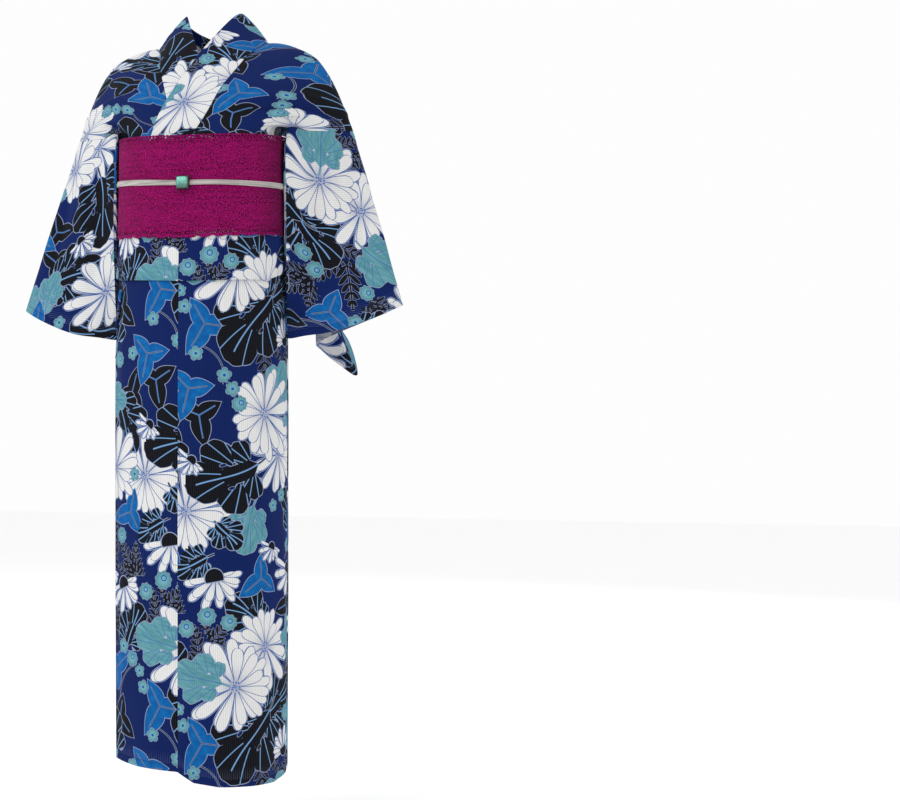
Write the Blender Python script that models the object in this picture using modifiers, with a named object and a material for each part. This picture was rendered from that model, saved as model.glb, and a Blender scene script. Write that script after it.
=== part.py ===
"""Cotton yukata worn on a general upright figure, with its lace belt, bow, cord and bead.

Metres, +Z up, the wearer faces -Y and the wearer's left is +X. The origin is midway between the
shoulders, where the garment is held. Every cloth piece is a closed thin wall that follows one grid
of points; neighbouring pieces stop just short of each other along their seams."""

from math import atan2, cos, pi, radians, sin

import bpy
import numpy as np

CLOTH = 0.0016  # wall of the cotton
COLLAR = 0.0026  # wall of the folded collar band
LACE = 0.0024  # wall of the belt
SEAM_GAP = 0.0004
NECK_GAP = 0.0015  # the collar band meets the bodice at an angle
AXIS_Y = -0.076  # the trunk's axis, in front of the shoulder line
SHOULDERS_BACK = 0.020  # the tables have the chest this far behind the trunk's axis

# How far each layer lies outside the trunk.
SKIRT_IN, SKIRT_OUT = 0.0, 0.0043
UNDER_BODY, OVER_BODY = 0.0025, 0.0066
BODY_HELD = 0.0100  # the bodice's lower edge lies against the belt
UNDER_COLLAR, OVER_COLLAR = 0.0030, 0.0071
TUCK_IN, TUCK_OUT = 0.0064, 0.0095
BELT_MID = 0.0126
CORD_MID = 0.0155

# The trunk under the cloth: height, half width, half depth.
TRUNK = np.array([
    (-0.100, 0.1260, 0.106),
    (-0.160, 0.1275, 0.108),
    (-0.240, 0.1280, 0.110),
    (-0.330, 0.1300, 0.113),
    (-0.400, 0.1360, 0.120),
    (-0.470, 0.1395, 0.125),
    (-0.600, 0.1405, 0.127),
    (-0.900, 0.1400, 0.128),
    (-1.230, 0.1385, 0.127),
])

# Levels that tilt a little: angle round the body (0 front, 90 wearer's left, 180 back), height.
BELT_TOP = np.array([(0, -0.174), (90, -0.166), (180, -0.158), (270, -0.164), (360, -0.174)])
BELT_FOOT = np.array([(0, -0.337), (90, -0.326), (180, -0.322), (270, -0.327), (360, -0.337)])
CORD_LEVEL = np.array([(0, -0.2505), (90, -0.2495), (180, -0.238), (270, -0.2375), (360, -0.2505)])
TUCK_FOOT = np.array([
    (0, -0.409), (60, -0.405), (90, -0.388), (180, -0.378), (270, -0.390), (300, -0.402),
    (360, -0.409),
])

# The skirt is one long wrap. Its unrolled angle falls from the hidden inner edge to the free
# outer edge: piece name, start angle, end angle.
SKIRT_PIECES = (
    ("okumi_right", 124.0, 65.0),
    ("skirt_front_right", 65.0, -30.0),
    ("skirt_back_right", -30.0, -149.0),
    ("skirt_back_left", -149.0, -267.6),
    ("skirt_front_left", -267.6, -362.5),
    ("okumi_left", -362.5, -421.5),
)
# How much the wrap draws in at the hem: unrolled angle, share of the radius.
TAPER = np.array([
    (-422, 0.0), (-149, 0.0), (-131, 0.11), (-99, 0.31), (-75, 0.37), (-30, 0.34), (20, 0.22),
    (65, 0.15), (124, 0.12),
])
# How that drawing in grows down the skirt: height, share.
TAPER_DROP = np.array([
    (-1.215, 1.0), (-1.15, 0.95), (-1.10, 0.83), (-1.01, 0.65), (-0.87, 0.47), (-0.483, 0.15),
    (-0.40, 0.05), (-0.33, 0.0),
])
# The hem: unrolled angle, height.
HEM = np.array([
    (-422, -1.195), (-395, -1.199), (-363, -1.200), (-352, -1.217), (-335, -1.224), (-290, -1.226),
    (-262, -1.214), (-245, -1.198), (-225, -1.206), (-190, -1.220), (-149, -1.226), (-120, -1.214),
    (-60, -1.204), (30, -1.200), (124, -1.184),
])
SKIRT_TOP = -0.346

# The collar's outer edge (the seam) and inner edge (the fold), from the belt at the front to the
# middle of the back, for the wearer's left, which lies over: x, y, z, x, y, z.
COLLAR_OVER = np.array([
    (0.030, -0.1530, -0.135, -0.052, -0.1500, -0.135),
    (0.048, -0.1350, -0.090, -0.036, -0.1370, -0.095),
    (0.069, -0.0950, -0.044, -0.010, -0.1120, -0.043),
    (0.080, -0.0560, -0.016, 0.014, -0.0760, 0.003),
    (0.095, 0.0000, 0.008, 0.044, -0.0100, 0.058),
    (0.084, 0.0320, -0.004, 0.054, 0.0240, 0.053),
    (0.056, 0.0680, -0.022, 0.037, 0.0580, 0.040),
    (0.000, 0.0930, -0.037, 0.000, 0.0820, 0.029),
])
COLLAR_UNDER_DEPTH = (0.0062, 0.0058, 0.0030, 0.0, 0.0, 0.0, 0.0, 0.0)  # the right side lies this much deeper

# The bodice, from the neck edge out to the armhole seam, for the wearer's left. The first column
# is the collar seam and comes from the collar. Rows run from the belt at the front, over the
# shoulder, to the belt at the back: six points of x, y, z.
BODICE = np.array([
    (0.060, -0.1480, -0.136, 0.088, -0.1370, -0.137, 0.112, -0.1210, -0.140,
     0.131, -0.1030, -0.144, 0.144, -0.0850, -0.147, 0.152, -0.0680, -0.150),
    (0.078, -0.1290, -0.094, 0.106, -0.1180, -0.100, 0.132, -0.1030, -0.110,
     0.153, -0.0880, -0.124, 0.168, -0.0760, -0.140, 0.178, -0.0660, -0.154),
    (0.095, -0.0900, -0.050, 0.125, -0.0820, -0.060, 0.152, -0.0730, -0.078,
     0.176, -0.0640, -0.102, 0.194, -0.0560, -0.128, 0.207, -0.0500, -0.153),
    (0.106, -0.0530, -0.020, 0.135, -0.0480, -0.029, 0.165, -0.0420, -0.048,
     0.193, -0.0360, -0.080, 0.214, -0.0300, -0.118, 0.229, -0.0260, -0.151),
    (0.118, 0.0000, 0.006, 0.147, 0.0000, -0.003, 0.181, 0.0000, -0.023,
     0.208, 0.0000, -0.064, 0.229, 0.0000, -0.112, 0.243, 0.0000, -0.148),
    (0.106, 0.0350, -0.008, 0.134, 0.0360, -0.019, 0.164, 0.0330, -0.040,
     0.191, 0.0290, -0.076, 0.213, 0.0250, -0.116, 0.228, 0.0220, -0.151),
    (0.082, 0.0740, -0.034, 0.112, 0.0740, -0.046, 0.144, 0.0690, -0.068,
     0.173, 0.0600, -0.098, 0.193, 0.0520, -0.128, 0.207, 0.0440, -0.155),
    (0.040, 0.1000, -0.056, 0.082, 0.1000, -0.075, 0.120, 0.0930, -0.098,
     0.148, 0.0820, -0.122, 0.166, 0.0720, -0.144, 0.179, 0.0620, -0.162),
    (0.038, 0.0980, -0.108, 0.076, 0.0960, -0.116, 0.107, 0.0890, -0.128,
     0.130, 0.0810, -0.142, 0.145, 0.0760, -0.156, 0.154, 0.0740, -0.170),
])

# The sleeve's loop. The first nine stations lie on the armhole seam, front armpit to back armpit;
# the others close the loop round the inner side of the arm. Each row: its place at the wrist with
# the tail folded out behind the arm, and its place at the wrist without that fold.
SLEEVE_WRIST = np.array([
    (0.153, -0.072, -0.499, 0.153, -0.072, -0.499),
    (0.180, -0.102, -0.495, 0.180, -0.102, -0.495),
    (0.230, -0.104, -0.487, 0.230, -0.104, -0.487),
    (0.292, -0.084, -0.464, 0.292, -0.084, -0.464),
    (0.332, -0.052, -0.4440, 0.332, -0.052, -0.4440),
    (0.297, -0.022, -0.456, 0.297, -0.022, -0.456),
    (0.254, 0.004, -0.470, 0.254, 0.004, -0.470),
    (0.215, 0.020, -0.484, 0.215, 0.020, -0.480),
    (0.184, 0.024, -0.497, 0.186, 0.024, -0.488),
    (0.168, 0.034, -0.506, 0.170, 0.030, -0.490),
    (0.182, 0.048, -0.522, 0.163, 0.031, -0.491),
    (0.206, 0.056, -0.541, 0.158, 0.028, -0.490),
    (0.235, 0.064, -0.557, 0.155, 0.022, -0.488),
    (0.214, 0.080, -0.494, 0.1535, 0.012, -0.487),
    (0.176, 0.072, -0.462, 0.1525, -0.004, -0.487),
    (0.153, 0.020, -0.470, 0.1520, -0.024, -0.489),
    (0.1515, -0.030, -0.486, 0.1518, -0.046, -0.493),
])
# The part of that loop under the armpit, at the top of the sleeve.
SLEEVE_ARMPIT = np.array([
    (0.154, 0.068, -0.198),
    (0.154, 0.060, -0.222),
    (0.153, 0.048, -0.238),
    (0.153, 0.034, -0.245),
    (0.152, 0.018, -0.244),
    (0.152, 0.000, -0.235),
    (0.152, -0.020, -0.216),
    (0.152, -0.044, -0.188),
])
SLEEVE_FOLD_RIGHT = 0.55  # the right tail is folded out less
WRIST_BACK = 0.020  # the arms hang this much further back at the wrist than that table

# The bow. Each row: place along the band as x, y behind BOW_Y, then the heights of its two edges.
BOW_Y = AXIS_Y + 0.056
WING_LEFT = np.array([
    (0.004, 0.0722, -0.192, -0.300),
    (0.040, 0.0722, -0.188, -0.296),
    (0.082, 0.0700, -0.200, -0.292),
    (0.114, 0.0740, -0.211, -0.296),
    (0.130, 0.0880, -0.213, -0.300),
    (0.127, 0.1030, -0.210, -0.303),
    (0.102, 0.1190, -0.200, -0.309),
    (0.066, 0.1390, -0.186, -0.315),
    (0.032, 0.1530, -0.176, -0.319),
    (0.004, 0.1580, -0.174, -0.312),
    (-0.022, 0.1480, -0.176, -0.268),
    (-0.036, 0.1330, -0.178, -0.232),
])
WING_RIGHT = np.array([
    (-0.004, 0.0722, -0.192, -0.298),
    (-0.040, 0.0722, -0.187, -0.292),
    (-0.084, 0.0700, -0.189, -0.274),
    (-0.122, 0.0730, -0.192, -0.258),
    (-0.143, 0.0860, -0.198, -0.262),
    (-0.141, 0.1010, -0.194, -0.270),
    (-0.114, 0.1180, -0.185, -0.283),
    (-0.074, 0.1310, -0.182, -0.298),
    (-0.040, 0.1270, -0.184, -0.312),
    (-0.014, 0.1180, -0.186, -0.318),
    (0.010, 0.1230, -0.187, -0.316),
])
FLAP_LEFT = np.array([
    (0.1200, 0.0930, -0.296, -0.322),
    (0.1165, 0.1035, -0.296, -0.326),
    (0.1006, 0.1166, -0.297, -0.336),
    (0.0647, 0.1363, -0.301, -0.350),
    (0.0311, 0.1501, -0.304, -0.364),
    (0.0050, 0.1498, -0.305, -0.369),
    (-0.0120, 0.1400, -0.308, -0.349),
    (-0.0200, 0.1300, -0.310, -0.332),
])
FLAP_RIGHT = np.array([
    (0.008, 0.1080, -0.305, -0.361),
    (-0.014, 0.1080, -0.304, -0.358),
    (-0.040, 0.1238, -0.300, -0.353),
    (-0.074, 0.1282, -0.286, -0.346),
    (-0.1126, 0.1156, -0.272, -0.339),
    (-0.1300, 0.1020, -0.264, -0.333),
    (-0.1345, 0.0920, -0.262, -0.324),
])

CORD_WIDTH = 0.0088
CORD_DEPTH = 0.0022
BEAD_SIDE = 0.0226
BEAD_ANGLE = 0.6

COTTON = ((0.030, 0.055, 0.215), 0.85, 0.0)
MAGENTA = ((0.270, 0.003, 0.115), 0.80, 0.0)
SILVER = ((0.520, 0.500, 0.490), 0.45, 0.0)
TEAL_GLASS = ((0.020, 0.280, 0.240), 0.12, 0.0)
DARK_STEEL = ((0.120, 0.110, 0.100), 0.35, 1.0)


def cleared():
    for old in list(bpy.data.objects):
        bpy.data.objects.remove(old, do_unlink=True)


def principled(name, look):
    colour, roughness, metallic = look
    material = bpy.data.materials.new(name)
    material.use_nodes = True
    shader = material.node_tree.nodes["Principled BSDF"]
    shader.inputs["Base Color"].default_value = (*colour, 1.0)
    shader.inputs["Roughness"].default_value = roughness
    shader.inputs["Metallic"].default_value = metallic
    return material


def add_solid(name, points, faces, look):
    mesh = bpy.data.meshes.new(name)
    mesh.from_pydata([tuple(p) for p in points], [], faces)
    mesh.validate()
    mesh.materials.append(principled(name, look))
    solid = bpy.data.objects.new(name, mesh)
    robe.objects.link(solid)
    return solid


def table(rows, at):
    """The second column of rows at this value of the first, by straight lines."""
    order = np.argsort(rows[:, 0])
    return np.interp(at, rows[order, 0], rows[order, 1])


def level(rows, angle):
    return table(rows, angle % 360.0)


def smooth(points, per_span, round_trip=False):
    """A curve through the points, or rows of points, with this many steps between neighbours."""
    points = np.asarray(points, float)
    count = len(points)
    spans = count if round_trip else count - 1
    out = []
    for i in range(spans):
        if round_trip:
            a, b, c, d = (points[(i + k) % count] for k in (-1, 0, 1, 2))
        else:
            b, c = points[i], points[i + 1]
            a = points[i - 1] if i else 2 * b - c
            d = points[i + 2] if i + 2 < count else 2 * c - b
        for k in range(per_span):
            t = k / per_span
            bend = 2 * a - 5 * b + 4 * c - d
            turn = 3 * b - a - 3 * c + d
            out.append(0.5 * (2 * b + (c - a) * t + bend * t * t + turn * t ** 3))
    if not round_trip:
        out.append(points[-1])
    return np.array(out)


def trunk(height):
    heights = TRUNK[::-1, 0]
    return np.interp(height, heights, TRUNK[::-1, 1]), np.interp(height, heights, TRUNK[::-1, 2])


def ring(angle, height, outside, share=1.0):
    """A point round the trunk, at this angle, height and distance outside it."""
    half_width, half_depth = trunk(height)
    turn = radians(angle)
    x = (half_width + outside) * sin(turn) * share
    y = AXIS_Y - (half_depth + outside) * cos(turn) * share
    return (x, y, height)


def normals_of(grid, round_trip):
    """The unit normal at each point of a grid; round_trip closes it along its first direction."""
    if round_trip:
        along = np.roll(grid, -1, 0) - np.roll(grid, 1, 0)
    else:
        along = np.gradient(grid, axis=0)
    across = np.gradient(grid, axis=1)
    normal = np.cross(along, across)
    return normal / np.linalg.norm(normal, axis=2, keepdims=True)


def sheet(name, grid, wall, look, round_trip=False):
    """A closed wall round a grid of points, half of it on each side."""
    grid = np.asarray(grid, float)
    rows, columns = grid.shape[:2]
    lift = normals_of(grid, round_trip) * wall / 2
    points = np.concatenate([(grid + lift).reshape(-1, 3), (grid - lift).reshape(-1, 3)])
    under = rows * columns
    faces = []
    for i in range(rows if round_trip else rows - 1):
        n = (i + 1) % rows
        for j in range(columns - 1):
            a, b, c, d = i * columns + j, n * columns + j, n * columns + j + 1, i * columns + j + 1
            faces.append((a, b, c, d))
            faces.append((d + under, c + under, b + under, a + under))
        for j, turned in ((0, False), (columns - 1, True)):
            a, b = i * columns + j, n * columns + j
            rim = (b, a, a + under, b + under)
            faces.append(rim[::-1] if turned else rim)
    if not round_trip:
        for i, turned in ((0, True), (rows - 1, False)):
            for j in range(columns - 1):
                a, b = i * columns + j, i * columns + j + 1
                rim = (b, a, a + under, b + under)
                faces.append(rim[::-1] if turned else rim)
    return add_solid(name, points, faces, look)


def settled(points):
    """The points with those near the belt moved forward to the trunk; shoulders and arms stay."""
    points = np.array(points, float)
    high = np.clip((points[..., 2] + 0.172) / 0.125, 0.0, 1.0)
    wide = np.clip((np.abs(points[..., 0]) - 0.125) / 0.05, 0.0, 1.0)
    points[..., 1] -= SHOULDERS_BACK * (1.0 - np.maximum(high, wide))
    return points


def moved_in(edge, inner, gap):
    """The edge moved this far towards the points beside it."""
    way = inner - edge
    return edge + way / np.linalg.norm(way, axis=-1, keepdims=True) * gap


def mirrored(points):
    return points * np.array([-1.0, 1.0, 1.0])


# ---- skirt

def wrap_layer(angle):
    """How far outside the trunk the wrap lies at this unrolled angle."""
    share = np.clip((-95.0 - angle) / 120.0, 0.0, 1.0)
    share = share * share * (3 - 2 * share)
    return SKIRT_IN + (SKIRT_OUT - SKIRT_IN) * share


# Hanging folds: unrolled angle, half width in degrees, height out of the cloth.
FOLDS = (
    (-158.0, 7.0, -0.0022),
    (-204.0, 9.0, 0.0018),
    (-246.0, 8.0, 0.0020),
    (-286.0, 8.0, -0.0016),
    (-312.0, 10.0, 0.0022),
    (-344.0, 8.0, -0.0018),
)


def crease(angle, height):
    """Soft hanging folds that grow towards the hem."""
    fall = np.clip((SKIRT_TOP - 0.1 - height) / 0.6, 0.0, 1.0)
    total = sum(high * np.exp(-(((angle - middle) / wide) ** 2)) for middle, wide, high in FOLDS)
    return fall * total


def free_edge(angle, height):
    """The outer overlap's edge stands off the body below the tuck."""
    near = np.clip((-388.0 - angle) / 33.0, 0.0, 1.0)
    below = np.clip((-0.415 - height) / 0.10, 0.0, 1.0)
    return 0.0065 * near ** 2 * below


def skirt_point(angle, height):
    share = 1.0 - table(TAPER, angle) * table(TAPER_DROP, height)
    outside = wrap_layer(angle) + crease(angle, height) + free_edge(angle, height)
    return ring(angle, height, outside, share)


def skirt():
    heights = np.array([0.0, 0.06, 0.14, 0.26, 0.40, 0.54, 0.68, 0.80, 0.90, 1.0])
    for name, start, end in SKIRT_PIECES:
        gap = 0.13  # degrees: half the gap at each seam
        count = max(7, int(round((start - end) / 7.9)) + 1)
        rows = []
        for angle in np.linspace(start - gap, end + gap, count):
            foot = table(HEM, angle)
            top = SKIRT_TOP
            rows.append([skirt_point(angle, top + (foot - top) * share) for share in heights])
        sheet(name, rows, CLOTH, COTTON)


# ---- waist tuck

def tuck(name, start, end, flare=0.0):
    """A band folded up inside itself, hanging below the belt."""
    rows = []
    for angle in np.linspace(start, end, max(6, int(abs(end - start) / 8) + 1)):
        foot = level(TUCK_FOOT, angle)
        lift = flare * np.clip((-angle - 60.0) / 14.0, 0.0, 1.0)
        mid, half = (TUCK_IN + TUCK_OUT) / 2, (TUCK_OUT - TUCK_IN) / 2
        section = [
            (TUCK_OUT, -0.300),
            (TUCK_OUT, -0.322),
            (TUCK_OUT + lift, (foot - 0.318) / 2),
            (TUCK_OUT + lift, foot + 0.012),
            (TUCK_OUT + lift, foot + 0.003),
            (mid + half * 0.6 + lift, foot + 0.0009),
            (mid + lift, foot),
            (mid - half * 0.6 + lift, foot + 0.0009),
            (TUCK_IN + lift, foot + 0.003),
            (TUCK_IN + lift, foot + 0.014),
            (TUCK_IN, foot + 0.040),
        ]
        rows.append([ring(angle, height, outside) for outside, height in section])
    sheet(name, rows, 0.0013, COTTON)


def tucks():
    tuck("tuck_front_left", -73.6, 91.85, 0.0012)
    tuck("tuck_back_left", 92.05, 183.9)
    tuck("tuck_right", 184.1, 286.0)


# ---- collar and bodice

STEPS = 3  # between rows of the collar and bodice tables


def collar_edges(under):
    """The collar's two edges from the belt to the middle of the back, as dense rows."""
    rows = settled(COLLAR_OVER.reshape(-1, 2, 3))
    rows[:, :, 1] += np.array(COLLAR_UNDER_DEPTH)[:, None] if under else 0.0
    depth = UNDER_COLLAR if under else OVER_COLLAR
    foot = np.array([ring(1.5, -0.186, depth), ring(-29.0, -0.186, depth)])
    rows = np.concatenate([foot[None], rows])
    # The last span bends towards the other half, so a mirrored row follows it.
    across = rows[-2].copy() * np.array([-1.0, 1.0, 1.0])
    dense = smooth(np.concatenate([rows, across[None]]), STEPS)[:-STEPS]
    return mirrored(dense) if under else dense


def collar():
    over, under = collar_edges(False), collar_edges(True)
    path = np.concatenate([over, under[::-1][1:]])
    seam, fold = path[:, 0], path[:, 1]
    across = fold - seam
    along = np.gradient((seam + fold) / 2, axis=0)
    out = np.cross(across, along)
    out /= np.linalg.norm(out, axis=1, keepdims=True)
    rows = []
    for share in (0.0, 0.12, 0.36, 0.64, 0.88, 1.0):
        bulge = 0.0035 * (1 - (2 * share - 1) ** 2)
        rows.append(seam + across * share - out * bulge)
    grid = np.stack(rows, axis=1)
    sheet("collar", grid, COLLAR, COTTON)


# Where the bodice stands just above the belt's edge: angle, height, how far out of its place.
FRONT_BRINK = (
    (17, -0.164, 0.0010),
    (31, -0.161, 0.0020),
    (45, -0.159, 0.0030),
    (59, -0.157, 0.0035),
    (73, -0.156, 0.0040),
    (88, -0.156, 0.0040),
)
BACK_BRINK = (
    (166, -0.146, 0.002),
    (150, -0.147, 0.003),
    (134, -0.148, 0.004),
    (120, -0.148, 0.005),
    (107, -0.148, 0.005),
    (95, -0.148, 0.004),
)


def brink(places, depth):
    return np.array([ring(angle, height, depth + out) for angle, height, out in places])


def lower_edge(points):
    """The points carried down under the belt, against its inner side."""
    turns = [atan2(p[0], -(p[1] - AXIS_Y)) * 180 / pi for p in points]
    return np.array([ring(turn, -0.2985, BODY_HELD) for turn in turns])


def bodice(name, under):
    edge = collar_edges(under)[:, 0]
    if under:
        edge = mirrored(edge)
    rows = settled(BODICE.reshape(-1, 6, 3))
    if under:
        rows[0, :, 1] += (0.0060, 0.0050, 0.003, 0.001, 0, 0)
        rows[1, :, 1] += (0.0055, 0.0040, 0.002, 0, 0, 0)
    depth = UNDER_BODY if under else OVER_BODY
    # At the belt the cloth goes in under it and down.
    front = np.array([ring(angle, -0.186, depth) for angle in (12, 28, 44, 60, 76, 90)])
    front_brink = brink(FRONT_BRINK, depth)
    back = np.array([ring(angle, -0.178, depth) for angle in (164, 148, 132, 118, 105, 92)])
    back_brink = brink(BACK_BRINK, depth)
    rows = np.concatenate([front[None], rows, back_brink[None], back[None]])
    dense = smooth(rows, STEPS)
    # Half way between the belt and the first row the cloth stands just above the belt's edge.
    share = np.sin(np.linspace(0, pi, STEPS + 1))[:, None, None]
    held = np.array((0.0, 0.2, 0.5, 0.9, 0.9, 0.9) if under else (0.5, 0.7, 0.9, 0.9, 0.9, 0.9))[None, :, None]
    dense[:STEPS + 1] += share * held * (front_brink - (front + rows[1]) / 2)
    # The neck edge follows the collar to the middle of the back, then runs down it.
    spine = np.array([
        edge[-1],
        settled((0, 0.102, -0.100)),
        (0, AXIS_Y + 0.112 + depth, -0.145),
        ring(180, -0.178, depth),
    ])
    spine = smooth(spine, STEPS)[1:]
    neck = np.concatenate([edge, spine])
    neck = moved_in(neck, dense[:, 0], NECK_GAP)
    neck[len(edge) - 1:, 0] = 0.0003
    columns = np.concatenate([neck[:, None], dense], axis=1)
    grid = smooth(columns.transpose(1, 0, 2), 2).transpose(1, 0, 2)
    # Straight down under the belt, front and back.
    low_front, low_back = lower_edge(grid[0]), lower_edge(grid[-1])
    low_back[0, 0] = 0.0003
    mid_front, mid_back = (grid[0] + low_front) / 2, (grid[-1] + low_back) / 2
    grid = np.concatenate([[low_front, mid_front], grid, [mid_back, low_back]])
    grid[:, -1] = moved_in(grid[:, -1], grid[:, -2], SEAM_GAP)
    if under:
        grid = mirrored(grid)[::-1]
    sheet(name, grid, CLOTH, COTTON)


# ---- sleeves

def sleeve(name, side, fold):
    seam = settled(BODICE.reshape(-1, 6, 3)[:, 5])
    top = np.concatenate([seam, SLEEVE_ARMPIT])
    back = np.array([0.0, WRIST_BACK, 0.0])
    folded, plain = SLEEVE_WRIST[:, :3] + back, SLEEVE_WRIST[:, 3:] + back
    wrist = plain + (folded - plain) * fold
    levels = []
    for share in (0.0, 0.12, 0.28, 0.44, 0.58, 0.72, 0.86, 1.0):
        base = top + (plain - top) * share
        levels.append(base + (wrist - plain) * share ** 2.6)
    loops = np.array([smooth(points, 3, round_trip=True) for points in levels])
    # The armhole edge stands clear of the bodice along the seam.
    way = loops[1] - loops[0]
    loops[0] += way / np.linalg.norm(way, axis=1, keepdims=True) * SEAM_GAP * 3.4
    # A long hanging crease in front and one behind.
    for k, share in enumerate((0.0, 0.12, 0.28, 0.44, 0.58, 0.72, 0.86, 1.0)):
        swell = sin(pi * min(1.0, share + 0.1)) * 0.006
        loops[k][8:11, 1] += swell * np.array([0.5, 1.0, 0.5])
        loops[k][17:20, 1] -= swell * np.array([0.5, 1.0, 0.5])
    grid = loops.transpose(1, 0, 2)
    if side < 0:
        grid = mirrored(grid)[::-1]
    sheet(name, grid, CLOTH, COTTON, round_trip=True)


# ---- collar end at the hip

def collar_end():
    """The folded end of the collar band on the free edge of the outer overlap."""
    far = -61.3
    rows = []
    for height, near in ((-0.418, -56.0), (-0.436, -56.2), (-0.454, -56.5), (-0.470, -57.4), (-0.482, -59.0)):
        row = []
        for share in (0.0, 0.33, 0.67, 1.0):
            angle = near + (far - near) * share
            laid = free_edge(angle - 360.0, height) + SKIRT_OUT + (CLOTH + 0.0022) / 2 + 0.0008
            row.append(ring(angle, height, laid + 0.0012 * sin(pi * share)))
        rows.append(row)
    sheet("collar_end", np.array(rows)[::-1], 0.0022, COTTON)


# ---- belt, cord and bow

def belt():
    rows = []
    for k in range(56):
        angle = 360.0 * k / 56
        top, foot = level(BELT_TOP, angle), level(BELT_FOOT, angle)
        rows.append([ring(angle, top + (foot - top) * share, BELT_MID) for share in (0.0, 0.35, 0.7, 1.0)])
    sheet("belt_wrap", rows, LACE, MAGENTA, round_trip=True)


def cord():
    rows = []
    for k in range(64):
        angle = 360.0 * k / 64
        mid = level(CORD_LEVEL, angle)
        heights = (mid + CORD_WIDTH / 2, mid, mid - CORD_WIDTH / 2)
        rows.append([ring(angle, height, CORD_MID) for height in heights])
    sheet("belt_cord", rows, CORD_DEPTH, SILVER, round_trip=True)


def band(name, rows, steps=2):
    dense = smooth(rows, steps)
    grid = []
    for x, y, top, foot in dense:
        grid.append([(x, y + BOW_Y, top + (foot - top) * share) for share in (0.0, 0.25, 0.5, 0.75, 1.0)])
    sheet(name, grid, LACE, MAGENTA)


def knot():
    """The small roll that holds the wings, seen only in the dimple between them."""
    rows = []
    for k in range(16):
        turn = 2 * pi * k / 16
        rows.append([(0.010 * cos(turn) * wide - 0.002, BOW_Y + 0.0832 + 0.0085 * sin(turn) * wide, height)
                     for height, wide in ((-0.196, 0.8), (-0.225, 1.0), (-0.262, 1.0), (-0.300, 0.85))])
    sheet("bow_knot", rows, LACE, MAGENTA, round_trip=True)


def box(name, low, high, look):
    points = [(x, y, z) for z in (low[2], high[2]) for y in (low[1], high[1]) for x in (low[0], high[0])]
    faces = [(0, 2, 3, 1), (4, 5, 7, 6), (0, 1, 5, 4), (2, 6, 7, 3), (0, 4, 6, 2), (1, 3, 7, 5)]
    return add_solid(name, points, faces, look)


def bevelled(solid, width, segments):
    step = solid.modifiers.new("edges", "BEVEL")
    step.width = width
    step.segments = segments
    step.limit_method = "ANGLE"


def bead():
    """A square glass pillow in a metal tray, which the cord runs through."""
    x, y, z = ring(BEAD_ANGLE, float(level(CORD_LEVEL, BEAD_ANGLE)), CORD_MID)
    half = BEAD_SIDE / 2
    front = y - 0.0042
    tray = box("bead_tray", (x - half, front, z - half), (x + half, y + 0.0004, z + half), DARK_STEEL)
    bevelled(tray, 0.0012, 2)
    inset = half - 0.0009
    glass_low, glass_high = (x - inset, front - 0.0055, z - inset), (x + inset, front - 0.0003, z + inset)
    glass = box("bead_glass", glass_low, glass_high, TEAL_GLASS)
    bevelled(glass, 0.0024, 4)
    reach = CORD_WIDTH / 2 + 0.0012
    channel = box("channel", (x - 0.03, y - 0.0026, z - reach), (x + 0.03, y + 0.02, z + reach), DARK_STEEL)
    robe.objects.unlink(channel)
    cutters.objects.link(channel)
    channel.hide_render = True
    channel.display_type = "WIRE"
    cut = tray.modifiers.new("channel", "BOOLEAN")
    cut.operation = "DIFFERENCE"
    cut.solver = "EXACT"
    cut.object = channel


cleared()
robe = bpy.data.collections.new("cotton_yukata_robe")
bpy.context.scene.collection.children.link(robe)
cutters = bpy.data.collections.new("cutters")
cutters.hide_render = True
bpy.context.scene.collection.children.link(cutters)

skirt()
tucks()
collar()
bodice("bodice_left", False)
bodice("bodice_right", True)
sleeve("sleeve_left", 1, 1.0)
sleeve("sleeve_right", -1, SLEEVE_FOLD_RIGHT)
collar_end()
belt()
cord()
band("bow_wing_left", WING_LEFT)
band("bow_wing_right", WING_RIGHT)
band("bow_flap_left", FLAP_LEFT)
band("bow_flap_right", FLAP_RIGHT)
knot()
bead()
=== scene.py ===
from math import cos, pi, radians, sin, tau

import bpy
import numpy as np
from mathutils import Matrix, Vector


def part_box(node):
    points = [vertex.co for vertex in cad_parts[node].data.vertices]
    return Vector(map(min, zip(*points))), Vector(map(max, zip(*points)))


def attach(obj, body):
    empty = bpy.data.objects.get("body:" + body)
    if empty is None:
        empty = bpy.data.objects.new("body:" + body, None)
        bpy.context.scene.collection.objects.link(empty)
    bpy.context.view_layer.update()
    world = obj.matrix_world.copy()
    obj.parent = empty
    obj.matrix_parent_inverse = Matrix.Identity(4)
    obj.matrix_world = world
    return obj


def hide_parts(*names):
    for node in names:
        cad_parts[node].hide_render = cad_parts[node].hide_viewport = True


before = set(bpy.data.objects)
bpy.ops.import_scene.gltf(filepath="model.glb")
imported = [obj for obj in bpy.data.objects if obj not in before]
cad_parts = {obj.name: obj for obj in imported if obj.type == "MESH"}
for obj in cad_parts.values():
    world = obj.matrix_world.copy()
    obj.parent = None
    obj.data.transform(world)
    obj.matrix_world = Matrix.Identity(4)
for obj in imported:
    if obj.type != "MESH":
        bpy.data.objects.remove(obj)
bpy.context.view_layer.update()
bpy.ops.object.select_all(action="DESELECT")
print("frame loaded")


# materials

class Value:
    # a number or colour on its way through a material, so that sums read as sums
    def __init__(self, look, socket):
        self.look = look
        self.socket = socket

    def maths(self, operation, *others, clamp=False):
        values = dict(enumerate((self, *others)))
        return self.look.node("ShaderNodeMath", {"operation": operation, "use_clamp": clamp}, values)

    def held(self):
        return self.maths("ADD", 0.0, clamp=True)

    def mask(self, sharp):
        # 1 where this is above 0, over an edge that is narrower the sharper it is
        settings = {"operation": "MULTIPLY_ADD", "use_clamp": True}
        return self.look.node("ShaderNodeMath", settings, {0: self, 1: sharp, 2: 0.5})


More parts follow.
